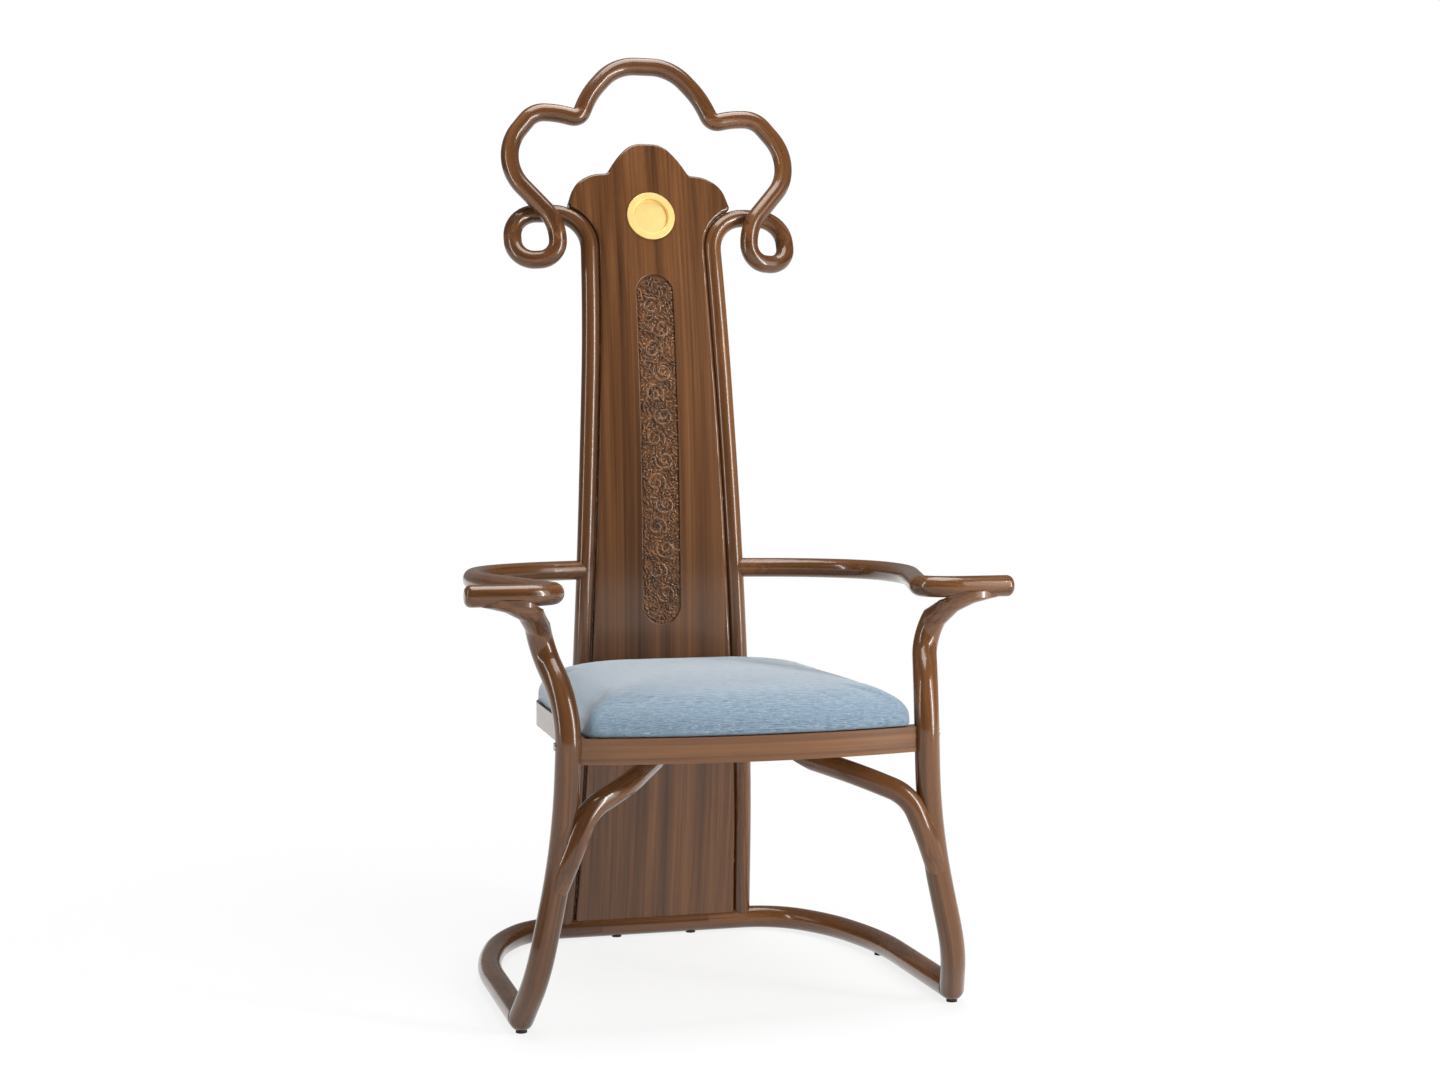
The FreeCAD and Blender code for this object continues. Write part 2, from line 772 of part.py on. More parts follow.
def make_leg():
    blank = rod(leg_edges[:-1], size.leg_diameter)
    sections = flare_sections()
    flare = [Part.makeLoft([lower, upper], True) for lower, upper in zip(sections, sections[1:])]
    blank = blank.fuse([Part.makeSphere(size.leg_diameter / 2, toe)] + flare).removeSplitter()
    holes = leg_dowels.holes() + floor_dowels.holes() + leg_bolts.holes()
    return blank.cut([arm_room] + holes + glide_seats)


# pads under the toes and the floor rail
side_glide = heading(rail_edges[5], 0.5)[0]
back_glide_share = 0.7
glide_places = [
    Vector(toe.x, toe.y, 0),
    Vector(side_glide.x, side_glide.y, 0),
    Vector(back_glide_share * size.floor_rail_joint, rail_back.y, 0),
]
glides = [Part.makeCylinder(size.glide_radius, size.glide_height, place) for place in glide_places]
glide_seats = []
for place in glide_places:
    glide_seats.append(Part.makeCylinder(size.glide_radius + size.seam, size.glide_height, place))

keep_pair("arm", make_arm())
keep_pair("front_leg", make_leg())


# Floor rail

floor_holes = floor_dowels.holes() + panel_foot_dowels.holes()
back_rail = rod(full_rail_edges, size.floor_rail_diameter)
keep("floor_back_rail", back_rail.cut(both(floor_holes + glide_seats)))

side_rail = rod(rail_edges, size.floor_rail_diameter)
keep_pair("floor_rail", side_rail.cut([leg_room, toe_room] + floor_holes + glide_seats))


# Braces, scarfed to the seat frame

brace_end, brace_way = heading(brace_edges[-1], 1.0)
level_side = brace_way.cross(UP).normalize()
scarf_way = FreeCAD.Rotation(level_side, size.scarf_angle).multVec(brace_way)
scarf_down = scarf_way.cross(level_side).normalize()
if scarf_down.z > 0:
    scarf_down = -scarf_down
scarf_middle = brace_end - scarf_way * size.brace_diameter
scarf_block = Part.makeCylinder(size.overrun, size.overrun, scarf_middle, scarf_down)
above_seat = Part.makeBox(
    2 * size.arm_reach, 2 * size.arm_reach, size.overrun, Vector(0, -2 * size.arm_reach, size.seat_underside)
)
brace = rod(brace_edges, size.brace_diameter)
keep_pair("brace", brace.cut([leg_room, scarf_block, above_seat] + brace_screws.holes()))


# Seat frame

bow_radius = (size.seat_front_half ** 2 + size.seat_bow ** 2) / (2 * size.seat_bow)
bow_centre = Vector(0, bow_radius - size.seat_corner_depth - size.seat_bow, 0)


def on_bow(across, inset=0.0):
    radius = bow_radius - inset
    return bow_centre + Vector(across, -math.sqrt(radius ** 2 - across ** 2), 0)


def seat_prism(inset, low, height):
    """Solid within the seat's outline, which is drawn in by the inset."""
    corner = on_bow(size.seat_front_half - inset, inset)
    rear = Vector(size.seat_rear_half - inset, -seat_rear - inset, 0)
    radius = size.seat_corner_radius - inset
    sides = bend([corner, rear] + mirrored([rear, corner]), {1: radius, 2: radius})
    bow = Part.Arc(mirrored([corner])[0], on_bow(0, inset), corner).toShape()
    face = Part.Face(Part.Wire(Part.__sortEdges__(sides + [bow])))
    face.translate(UP * low)
    return face.extrude(UP * height)


def bow_band(near, far, reach):
    """Curved block that follows the seat's front, between two insets from it."""
    face = Part.Face(Part.Wire(Part.__sortEdges__([
        Part.Arc(on_bow(-reach, near), on_bow(0, near), on_bow(reach, near)).toShape(),
        Part.Arc(on_bow(-reach, far), on_bow(0, far), on_bow(reach, far)).toShape(),
        line(on_bow(-reach, near), on_bow(-reach, far)),
        line(on_bow(reach, near), on_bow(reach, far)),
    ])))
    face.translate(UP * size.seat_underside)
    return face.extrude(UP * size.seat_rail_height)


thickness = size.seat_rail_thickness
front_rail = bow_band(0, thickness, size.seat_front_half + size.rail_ear)
front_rail = front_rail.cut(both([leg_room] + leg_bolts.holes() + seat_dowels.holes()))
keep("front_rail", front_rail)

side_frame = seat_prism(0, size.seat_underside, size.seat_rail_height)
side_frame = side_frame.cut(seat_prism(thickness, size.seat_underside, size.seat_rail_height))
beside = Part.makeBox(
    size.arm_reach, 2 * size.arm_reach, size.arm_height, Vector(rear_joint, -2 * size.arm_reach, 0)
)
side_frame = side_frame.common(beside)
front_cutter = bow_band(-size.overrun, thickness, size.arm_reach)
side_holes = seat_dowels.holes() + stile_bolts.holes()
keep_pair("seat_side_rail", side_frame.cut([front_cutter, leg_room] + side_holes))

seat_inside = seat_prism(thickness + size.seam, size.seat_underside, size.seat_rail_height)
board = seat_prism(thickness + size.seam, board_underside, size.board_thickness)
keep("seat_board", board.cut(both(board_screws.holes())))


def corner_block(corner, sideways, backwards):
    """Triangular block in a corner of the frame."""
    points = [corner, corner + Vector(sideways, 0, 0), corner + Vector(0, backwards, 0), corner]
    block = Part.Face(Part.makePolygon(points)).extrude(UP * (board_underside - size.seat_underside))
    return block.common(seat_inside).cut(board_screws.holes() + stile_bolts.holes() + leg_bolts.holes())


front_corner = Vector(size.seat_front_half, -size.seat_corner_depth, size.seat_underside)
rear_corner = Vector(size.seat_rear_half, -seat_rear, size.seat_underside)
keep_pair("front_corner_block", corner_block(front_corner, -size.front_block_side, size.front_block_side))
keep_pair("rear_corner_block", corner_block(rear_corner, -size.rear_block_side, -size.rear_block_side))


# Straight seat members and the brass disc, drawn as sketches

def sketched_body(label, plane_role, corners):
    """Body with a closed outline, each corner placed by two expressions of the sizes."""
    body = doc.addObject("PartDesign::Body", label)
    body.Label = label
    plane = next(item for item in body.Origin.OriginFeatures if item.Role == plane_role)
    sketch = body.newObject("Sketcher::SketchObject", f"{label}_outline")
    sketch.AttachmentSupport = [(plane, "")]
    sketch.MapMode = "FlatFace"
    places = [Vector(*[float(size.evalExpression(term)) for term in pair], 0) for pair in corners]
    count = len(places)
    for index, place in enumerate(places):
        sketch.addGeometry(Part.LineSegment(place, places[(index + 1) % count]))
    for index in range(count):
        sketch.addConstraint(Sketcher.Constraint("Coincident", index, 2, (index + 1) % count, 1))
    for index, pair in enumerate(corners):
        values = (places[index].x, places[index].y)
        for kind, term, value, axis in zip(("DistanceX", "DistanceY"), pair, values, (-2, -1)):
            if value == 0:
                sketch.addConstraint(Sketcher.Constraint("PointOnObject", index, 1, axis))
                continue
            ends = (-1, 1, index, 1) if value > 0 else (index, 1, -1, 1)
            number = sketch.addConstraint(Sketcher.Constraint(kind, *ends, abs(value)))
            sketch.setExpression(f"Constraints[{number}]", term if value > 0 else f"-({term})")
    doc.recompute()
    return body, sketch


def padded_body(label, corners, height_term):
    body, sketch = sketched_body(label, "XY_Plane", corners)
    pad = body.newObject("PartDesign::Pad", f"{label}_pad")
    pad.Profile = sketch
    pad.setExpression("Length", height_term)
    sketch.Visibility = False
    body.Placement = FreeCAD.Placement(Vector(0, size.setback, size.seat_underside), FreeCAD.Rotation())
    return body


def drilled(label, body, holes):
    """The body with its dowel and screw holes."""
    body.Label = f"{label}_blank"
    tool = doc.addObject("Part::Feature", f"{label}_holes")
    tool.Shape = Part.makeCompound(holes)
    tool.Placement = SETBACK
    cut = doc.addObject("Part::Cut", label)
    cut.Label = label
    cut.Base = body
    cut.Tool = tool
    nodes.append(cut)


rail_half = "(sizes.seat_rear_half - sizes.seat_corner_radius - sizes.rear_joint_inset)"
rail_rear = "(-sizes.stile_diameter / 2 - sizes.seam)"
rail_front = f"({rail_rear} - sizes.seat_rail_thickness)"
rear_rail = padded_body(
    "rear_rail",
    [
        (f"-{rail_half}", rail_front),
        (rail_half, rail_front),
        (rail_half, rail_rear),
        (f"-{rail_half}", rail_rear),
    ],
    "sizes.seat_rail_height",
)
drilled("rear_rail", rear_rail, both(seat_dowels.holes()))

slope = "(sizes.seat_front_half - sizes.seat_rear_half) / sizes.seat_corner_depth"
cross_half = (
    f"(sizes.seat_rear_half + {slope} * (sizes.cross_rail_depth - sizes.cross_rail_width / 2)"
    " - sizes.seat_rail_thickness - sizes.seam)"
)
cross_front = "(-sizes.cross_rail_depth - sizes.cross_rail_width / 2)"
cross_rear = "(-sizes.cross_rail_depth + sizes.cross_rail_width / 2)"
cross_rail = padded_body(
    "cross_rail",
    [
        (f"-{cross_half}", cross_front),
        (cross_half, cross_front),
        (cross_half, cross_rear),
        (f"-{cross_half}", cross_rear),
    ],
    "sizes.seat_rail_height - sizes.board_thickness",
)
cross_holes = seat_dowels.holes() + board_screws.holes() + brace_screws.holes()
drilled("cross_rail", cross_rail, both(cross_holes))

disc, disc_outline = sketched_body(
    "brass_disc",
    "XZ_Plane",
    [
        ("0", "0"),
        ("sizes.disc_radius", "0"),
        ("sizes.disc_radius", "sizes.disc_thickness"),
        ("sizes.dish_radius", "sizes.disc_thickness"),
        ("sizes.dish_foot", "sizes.disc_thickness - sizes.dish_depth"),
        ("0", "sizes.disc_thickness - sizes.dish_depth"),
    ],
)
turned = disc.newObject("PartDesign::Revolution", "brass_disc_turned")
turned.Profile = disc_outline
turned.ReferenceAxis = (disc_outline, ["V_Axis"])
turned.Angle = 360
doc.recompute()
rim_names = []
for index, edge in enumerate(turned.Shape.Edges, start=1):
    on_rim = edge.Curve.TypeId == "Part::GeomCircle"
    if on_rim and abs(edge.Curve.Center.z - size.disc_thickness) < size.seam:
        rim_names.append(f"Edge{index}")
rounded = disc.newObject("PartDesign::Fillet", "brass_disc_rounded")
rounded.Base = (turned, rim_names)
rounded.setExpression("Radius", "sizes.disc_round")
disc_lift = FreeCAD.Placement(Vector(0, disc_up, disc_floor), FreeCAD.Rotation())
disc.Placement = SETBACK.multiply(head_frame).multiply(disc_lift)
nodes.append(disc)

disc_pin = doc.addObject("Part::Cylinder", "disc_pin")
disc_pin.Label = "disc_pin"
disc_pin.setExpression("Radius", "sizes.disc_pin_radius")
disc_pin.setExpression("Height", "sizes.disc_pin_length")
disc_pin.Placement = SETBACK.multiply(head_frame).multiply(FreeCAD.Placement(pin_foot, FreeCAD.Rotation()))
nodes.append(disc_pin)


# Crowned cushion: its plan, drawn in towards the top in steps

cushion_plan_shares = (
    (0.0, 0.985),
    (0.12, 1.0),
    (0.34, 0.995),
    (0.56, 0.955),
    (0.72, 0.875),
    (0.85, 0.735),
    (0.94, 0.53),
    (1.0, 0.25),
)
bow_reach_share = 0.85
crown_degree = 2
cushion_middle = Vector(0, -(size.seat_corner_depth + seat_rear) / 2, 0)
cushion_base = board_top + size.soft_gap


def cushion_section(up, share):
    rear = -size.stile_diameter / 2 - size.cushion_setback
    half_turn = math.asin(size.seat_front_half / bow_radius) / 2
    bow_knee = bow_radius / math.cos(half_turn)
    knee = bow_centre + Vector(bow_knee * math.sin(half_turn), -bow_knee * math.cos(half_turn), 0)
    half = [
        Vector(0, rear, 0),
        Vector(size.seat_rear_half, rear, 0),
        Vector(size.seat_front_half, -size.seat_corner_depth, 0),
        knee,
    ]
    points = half + mirrored(half[::-1])
    height = UP * (cushion_base + up * size.cushion_height)
    points = [cushion_middle + (point - cushion_middle) * share + height for point in points]
    rear_radius, corner_radius = size.seat_corner_radius * share, size.cushion_corner * share
    knee_radius = bow_radius * bow_reach_share * share
    one_side = (rear_radius, corner_radius, knee_radius)
    radii = dict(enumerate(one_side + one_side[::-1], start=1))
    return Part.Wire(bend(points, radii))


sections = [cushion_section(up, share) for up, share in cushion_plan_shares]
keep("seat_cushion", Part.makeLoft(sections, True, False, False, crown_degree))


# Groups of like fasteners and pads

groups = (
    arm_dowels,
    leg_dowels,
    crest_dowels,
    panel_dowels,
    panel_foot_dowels,
    seat_dowels,
    crossing_screws,
    stile_bolts,
    leg_bolts,
    board_screws,
    brace_screws,
    floor_dowels,
)
for group in groups:
    keep(group.label, Part.makeCompound(both(group.solids())))
keep("floor_glides", Part.makeCompound(both(glides)))

doc.recompute()
for item in doc.Objects:
    if "Invalid" in item.State or "Error" in item.State:
        raise RuntimeError(f"{item.Label} failed: {item.State}")
for node in nodes:
    if node.Shape.isNull() or not node.Shape.isValid():
        raise RuntimeError(f"{node.Label} has no valid shape")

os.makedirs("parts", exist_ok=True)
for node in nodes:
    node.Shape.exportStep(f"parts/{node.Label}.step")
    print(f"{node.Label}: {len(node.Shape.Solids)} solid(s), {node.Shape.Volume / 1000:.1f} cm3")
print(f"crossing strands {crossing_line[0]:.2f} apart for rods of {size.stile_diameter:.2f}")
whole = Part.makeCompound([node.Shape for node in nodes]).BoundBox
print(f"whole: {whole.XLength:.1f} x {whole.YLength:.1f} x {whole.ZLength:.1f}")
print(f"depth runs from {whole.YMin:.1f} to {whole.YMax:.1f}, bottom at {whole.ZMin:.2f}")
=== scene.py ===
# %% [markdown]
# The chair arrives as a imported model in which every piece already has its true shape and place.
# This script only dresses it: it gives each piece its finish, carves the inlaid strip, and
# upholsters the seat. The pieces could be modelled again here, but starting from the frame keeps
# the looks and the construction in one set of sizes, so nothing is measured twice.

import heapq
import math

import bmesh
import bpy
import numpy as np
from mathutils import Matrix, Vector
from mathutils.kdtree import KDTree


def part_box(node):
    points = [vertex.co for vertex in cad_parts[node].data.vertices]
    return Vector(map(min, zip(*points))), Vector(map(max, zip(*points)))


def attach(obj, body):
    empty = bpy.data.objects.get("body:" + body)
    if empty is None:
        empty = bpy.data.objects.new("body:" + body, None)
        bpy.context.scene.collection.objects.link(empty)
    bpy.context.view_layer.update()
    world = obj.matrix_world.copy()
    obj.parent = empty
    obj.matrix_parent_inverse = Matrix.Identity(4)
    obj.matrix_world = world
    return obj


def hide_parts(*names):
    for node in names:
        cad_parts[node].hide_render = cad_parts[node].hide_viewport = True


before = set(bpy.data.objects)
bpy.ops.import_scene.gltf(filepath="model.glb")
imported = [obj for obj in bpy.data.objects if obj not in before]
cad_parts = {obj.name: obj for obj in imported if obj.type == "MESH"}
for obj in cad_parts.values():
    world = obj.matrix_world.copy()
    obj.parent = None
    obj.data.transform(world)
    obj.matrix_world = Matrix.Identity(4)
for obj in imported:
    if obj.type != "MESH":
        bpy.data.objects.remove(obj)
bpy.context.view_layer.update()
SEED = 7
BODY = "root"
print("pieces in the frame:", len(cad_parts))

# %% [markdown]
# The camera stands to the left of the chair and a little above the arms, about 3.4 metres off. It
# could be set by eye. Here it was found by matching points that mirror each other on the chair, so
# its place, turn and lens are measured. Blender's camera looks down its own Z axis, and a quarter
# turn about X makes it look along the floor.

# %% Camera
CAMERA_PLACE = Vector((-0.8598, -3.2883, 0.8385))
CAMERA_TURN = math.radians(-15.3035)
CAMERA_DIP = math.radians(2.8755)
SENSOR = 36.0
LENS = 55.69

camera_data = bpy.data.cameras.new("camera")
camera_data.sensor_width = SENSOR
camera_data.lens = LENS
camera = bpy.data.objects.new("camera", camera_data)
camera.location = CAMERA_PLACE
camera.rotation_euler = (math.pi / 2 - CAMERA_DIP, 0, CAMERA_TURN)
bpy.context.scene.collection.objects.link(camera)
bpy.context.scene.camera = camera
print("camera lens:", LENS)

# %% [markdown]
# Finishes are node trees, and node trees read badly when every addition takes four lines. Value
# wraps one socket and answers to the usual signs, so a mask is written as a sum. Tree makes any
# other node in one call: its settings first, then what its sockets hold.

# %% A socket that answers to + - *
class Value:
    """One number in a node tree. A sign between two values adds the Math node it stands for."""

    def __init__(self, tree, socket):
        self.tree = tree
        self.socket = socket

    def work_out(self, operation, *numbers):
        settings = {"operation": operation}
        return self.tree.number("ShaderNodeMath", settings, dict(enumerate(numbers)))

    def __add__(self, other):
        return self.work_out("ADD", self, other)

    def __sub__(self, other):
        return self.work_out("SUBTRACT", self, other)

    def __rsub__(self, other):
        return self.work_out("SUBTRACT", other, self)

    def __mul__(self, other):
        return self.work_out("MULTIPLY", self, other)

    def sine(self):
        return self.work_out("SINE", self)

    __radd__ = __add__
    __rmul__ = __mul__


class Tree:
    """A node tree that is written one call to a node."""

    def __init__(self, nodes):
        self.tree = nodes

    def put(self, socket, value):
        if isinstance(value, Value):
            value = value.socket
        if isinstance(value, bpy.types.NodeSocket):
            self.tree.links.new(value, socket)
        else:
            socket.default_value = value

    def node(self, kind, settings=None, values=None):
        made = self.tree.nodes.new(kind)
        for name, setting in (settings or {}).items():
            setattr(made, name, setting)
        for socket, value in (values or {}).items():
            self.put(made.inputs[socket], value)
        return made

    def number(self, kind, settings=None, values=None, output=0):
        return Value(self, self.node(kind, settings, values).outputs[output])


print("a value answers to + - * and can give its sine")

# %% [markdown]
# A finish is a Principled shader with a name. What varies over the surface feeds its colour,
# roughness, coat weight and bump, which an export can bake into pictures. A number that holds all
# over a piece is set on the shader's own socket, where an export can read it.

# %% Finishes
MIX_SHARE, MIX_FIRST, MIX_SECOND, MIX_RESULT = 0, 6, 7, 2


class Finish(Tree):
    """A material with one Principled shader."""

    def __init__(self, name, **constants):
        self.material = bpy.data.materials.new(name)
        self.material.use_nodes = True
        super().__init__(self.material.node_tree)
        self.tree.nodes.clear()
        self.shader = self.node("ShaderNodeBsdfPrincipled")
        self.output = self.node("ShaderNodeOutputMaterial")
        self.put(self.output.inputs["Surface"], self.shader.outputs[0])
        for socket, value in constants.items():
            self.set(socket.replace("_", " "), value)

    def set(self, socket, value):
        self.put(self.shader.inputs[socket], value)

    def place(self):
        return self.node("ShaderNodeTexCoord").outputs["Object"]

    def attribute(self, name):
        return self.node("ShaderNodeAttribute", {"attribute_name": name}).outputs["Vector"]

    def stretch(self, vector, scale):
        return self.node("ShaderNodeMapping", None, {"Vector": vector, "Scale": scale}).outputs[0]

    def vector(self, operation, *vectors):
        settings = {"operation": operation}
        return self.node("ShaderNodeVectorMath", settings, dict(enumerate(vectors))).outputs[0]

    def length(self, vector):
        settings = {"operation": "LENGTH"}
        return self.number("ShaderNodeVectorMath", settings, {0: vector}, "Value")

    def noise(self, vector, scale=1.0, detail=3.0, roughness=0.55, distortion=0.0):
        values = {"Vector": vector, "Scale": scale, "Detail": detail}
        values.update({"Roughness": roughness, "Distortion": distortion})
        return self.number("ShaderNodeTexNoise", None, values, "Fac")

    def ramp(self, value, low, high):
        values = {"Value": value, "From Min": low, "From Max": high}
        return self.number("ShaderNodeMapRange", {"clamp": True}, values)

    def blend(self, share, first, second):
        values = {MIX_SHARE: share, MIX_FIRST: first, MIX_SECOND: second}
        return self.node("ShaderNodeMix", {"data_type": "RGBA"}, values).outputs[MIX_RESULT]

    def bump(self, height, distance, strength):
        values = {"Height": height, "Distance": distance, "Strength": strength}
        self.set("Normal", self.node("ShaderNodeBump", None, values).outputs[0])


def colour(red, green, blue):
    """A colour written as on a screen, turned to the light that Blender adds up."""
    parts = [value / 255 for value in (red, green, blue)]
    return tuple(p / 12.92 if p <= 0.04045 else ((p + 0.055) / 1.055) ** 2.4 for p in parts) + (1,)


print("mid grey in Blender's light:", round(colour(128, 128, 128)[0], 3))

# %% [markdown]
# Walnut has three scales of figure: broad bands of growth, narrow streaks, and short dark pores
# along the grain. A slow wander makes one end of a board a little darker than the other. It could
# be a picture of wood, but a picture repeats and has to be unwrapped. Noise stretched along the
# grain fits every piece. The real finish is a satin lacquer, so a thin smooth coat lies over
# rougher wood.

# %% Walnut
WALNUT_DARK = colour(56, 32, 16)
WALNUT_MIDDLE = colour(96, 60, 33)
WALNUT_LIGHT = colour(126, 83, 49)
WARM = (1.0, 0.87, 0.74, 1)
BOARD_DEPTH = 0.08
AXES = {"x": (0, 0, 0), "z": (0, math.pi / 2, 0)}
WANDER = (0.9, 9, 9)
BANDS = (0.35, 46, 46)
STREAKS = (0.9, 250, 250)
PORES = (12, 700, 700)


def wood_grain(finish, along):
    """The straightened place in the piece: its first number runs with the grain, in metres."""
    if along == "piece":
        return finish.attribute("grain")
    flat = finish.stretch(finish.place(), (1, BOARD_DEPTH, 1))
    values = {"Vector": flat, "Rotation": AXES[along]}
    return finish.node("ShaderNodeMapping", None, values).outputs[0]


def walnut(name, along):
    lacquer = {"Coat_Roughness": 0.1, "Coat_IOR": 1.6}
    finish = Finish(name, Specular_IOR_Level=0.3, Specular_Tint=WARM, **lacquer)
    grain = wood_grain(finish, along)
    wander = finish.noise(finish.stretch(grain, WANDER), detail=2)
    bands = finish.noise(finish.stretch(grain, BANDS), detail=3, distortion=0.3)
    streaks = finish.noise(finish.stretch(grain, STREAKS), detail=3, roughness=0.65)
    pores = finish.noise(finish.stretch(grain, PORES), detail=2)
    figure = finish.ramp(bands * 0.55 + streaks * 0.40 + wander * 0.25, 0.42, 0.78)
    body = finish.blend(finish.ramp(figure, 0.0, 0.5), WALNUT_DARK, WALNUT_MIDDLE)
    body = finish.blend(finish.ramp(figure, 0.5, 1.0), body, WALNUT_LIGHT)
    pore = finish.ramp(pores, 0.58, 0.74)
    finish.set("Base Color", finish.blend(pore * 0.35, body, WALNUT_DARK))
    finish.set("Roughness", 0.25 + pore * 0.08 + (wander - 0.5) * 0.06)
    finish.set("Coat Weight", 0.55 - pore * 0.1)
    return finish.material


WALNUT = {way: walnut(f"walnut_along_{way}", way) for way in ("piece", "x", "z")}
print("walnut finishes:", sorted(WALNUT))

# %% [markdown]
# A rod was straight before it was bent, so its grain follows the bend. A plain pattern would cut
# straight through the curve. So each rod gets an attribute that says where a point was before
# bending: how far along, and how far off centre. The frame doesn't store the centreline, so it is
# found from the mesh. The way over the surface from one end sorts the points first.

# %% Points of a mesh
def positions(mesh):
    points = np.zeros(len(mesh.vertices) * 3, np.float32)
    mesh.vertices.foreach_get("co", points)
    return points.reshape(-1, 3).astype(float)


def set_positions(mesh, points):
    mesh.vertices.foreach_set("co", points.astype(np.float32).ravel())
    mesh.update()


def corners(mesh):
    """The three point numbers of every triangle."""
    mesh.calc_loop_triangles()
    triangles = np.zeros(len(mesh.loop_triangles) * 3, np.int32)
    mesh.loop_triangles.foreach_get("vertices", triangles)
    return triangles.reshape(-1, 3)


def keep_places(mesh, name, places):
    """Stores one place for each point, which a finish can read by name."""
    layer = mesh.attributes.new(name, "FLOAT_VECTOR", "POINT")
    layer.data.foreach_set("vector", places.astype(np.float32).ravel())


print("points in the first rod:", len(positions(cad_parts["crest_arch"].data)))

# %% Distance along a rod
TOGETHER = 5e-5


def weld(points):
    """Numbers for the points, the same one for points that lie together."""
    nearby = KDTree(len(points))
    for number, point in enumerate(points):
        nearby.insert(point, number)
    nearby.balance()
    where = np.full(len(points), -1)
    kept = []
    for number, point in enumerate(points):
        if where[number] < 0:
            for _, other, _ in nearby.find_range(point, TOGETHER):
                where[other] = len(kept)
            kept.append(point)
    return np.array(kept), where


def walk(start, neighbours):
    """The shortest way over the mesh from one point to every other, and 0 where there is none."""
    far = np.full(len(neighbours), np.inf)
    far[start] = 0.0
    queue = [(0.0, start)]
    while queue:
        so_far, at = heapq.heappop(queue)
        if so_far > far[at]:
            continue
        for to, step in neighbours[at]:
            if so_far + step < far[to]:
                far[to] = so_far + step
                heapq.heappush(queue, (far[to], to))
    far[np.isinf(far)] = 0
    return far


def distance_along(points, triangles):
    """The point farthest from any other is an end of the rod, and the rest is measured from it."""
    welded, where = weld(points)
    sides = ((0, 1), (1, 2), (0, 2))
    edges = {tuple(sorted((t[i], t[j]))) for t in where[triangles] for i, j in sides}
    neighbours = [[] for _ in welded]
    for a, b in edges:
        step = float(np.linalg.norm(welded[a] - welded[b]))
        neighbours[a].append((b, step))
        neighbours[b].append((a, step))
    end = int(walk(0, neighbours).argmax())
    return walk(end, neighbours)[where]


# %% [markdown]
# The middle of each group of sorted points lies on the centreline. The way over the surface is a
# little slanted in a bend, so the points are measured again along that line, and the line is drawn
# again. A side direction is carried from one stretch of the line to the next without a twist.

# %% Centreline and straightened place
STEP = 0.018
PASSES = 3
FIRST_SIDE = (0.3, 0.2, 0.9)


def middle_of_groups(points, far):
    groups = np.floor(far / STEP).astype(int)
    return np.array([points[groups == g].mean(0) for g in np.unique(groups)])


def project(points, line):
    """For each point: the distance along the line, and the stretch of it that is nearest."""
    start, way = line[:-1], np.diff(line, axis=0)
    length = np.linalg.norm(way, axis=1)
    before = np.concatenate([[0], np.cumsum(length)[:-1]])
    offset = points[:, None] - start[None]
    share = np.clip((offset * way).sum(2) / np.maximum(length ** 2, 1e-12), 0, 1)
    gap = np.linalg.norm(offset - share[..., None] * way, axis=2)
    nearest = gap.argmin(1)
    rows = np.arange(len(points))
    return before[nearest] + share[rows, nearest] * length[nearest], nearest


def steady_sides(ways):
    """A direction across each stretch of the line, which turns only as much as the line does."""
    side = np.cross(ways[0], FIRST_SIDE)
    sides = []
    for way in ways:
        side = side - way * side.dot(way)
        side = side / np.linalg.norm(side)
        sides.append(side)
    return np.array(sides)


def straighten(points, triangles):
    far = distance_along(points, triangles)
    for _ in range(PASSES):
        line = middle_of_groups(points, far)
        line[1:-1] = (line[:-2] + 2 * line[1:-1] + line[2:]) / 4
        ends = (2 * line[:1] - line[1:2], 2 * line[-1:] - line[-2:-1])
        line = np.concatenate([ends[0], line, ends[1]])
        far, nearest = project(points, line)
    ways = np.diff(line, axis=0)
    ways /= np.linalg.norm(ways, axis=1)[:, None]
    sides = steady_sides(ways)
    offset = points - line[nearest]
    across = (offset * sides[nearest]).sum(1)
    around = (offset * np.cross(ways, sides)[nearest]).sum(1)
    return np.stack([far, across, around], 1)


# %% [markdown]
# The frame's own pieces mustn't be changed, so a bent piece is dressed as a copy that carries the
# attribute. The copy keeps the exact shading normals of the imported model, and stands for the piece
# attribute. The copy keeps the exact shading normals of the imported model, and stands for the piece
# it was copied from. Each copy's grain is shifted, so that no two rods look cut from the same stick.

# %% Dress the bent pieces
PAIRS = ("stile", "curl", "crest_lobe", "arm", "front_leg", "floor_rail", "brace", "seat_side_rail")
BENT = ["crest_arch"] + [f"{side}_{pair}" for pair in PAIRS for side in ("right", "left")]
GRAIN_SHIFT = np.array([1.37, 0.21, 0.33])


def new_mesh_object(name, mesh):
    made = bpy.data.objects.new(name, mesh)
    bpy.context.scene.collection.objects.link(made)
    return made


def add_piece(name, mesh, material):
    piece = new_mesh_object(name, mesh)
    mesh.materials.clear()
    mesh.materials.append(material)
    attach(piece, BODY)
    return piece


def dress_bent(number, node):
    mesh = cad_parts[node].data.copy()
    grain = straighten(positions(mesh), corners(mesh))
    keep_places(mesh, "grain", grain + GRAIN_SHIFT * number)
    piece = add_piece(f"{node}_wood", mesh, WALNUT["piece"])
    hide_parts(node)
    return np.ptp(grain[:, 0])


for number, node in enumerate(BENT):
    print(f"{node}: grain laid along {dress_bent(number, node):.3f} m")

# %% [markdown]
# Straight pieces need no copy. Their grain runs along one axis of the chair, so the finish reads
# the plain place. The plank of the back has upright grain, and the rails run across. Depth counts
# for little in the pattern, as in a board sawn flat, so the figure stays long where the plank
# curves.

# %% Dress the straight pieces
STRAIGHT = {"back_panel": "z", "front_rail": "x", "rear_rail": "x", "floor_back_rail": "x"}


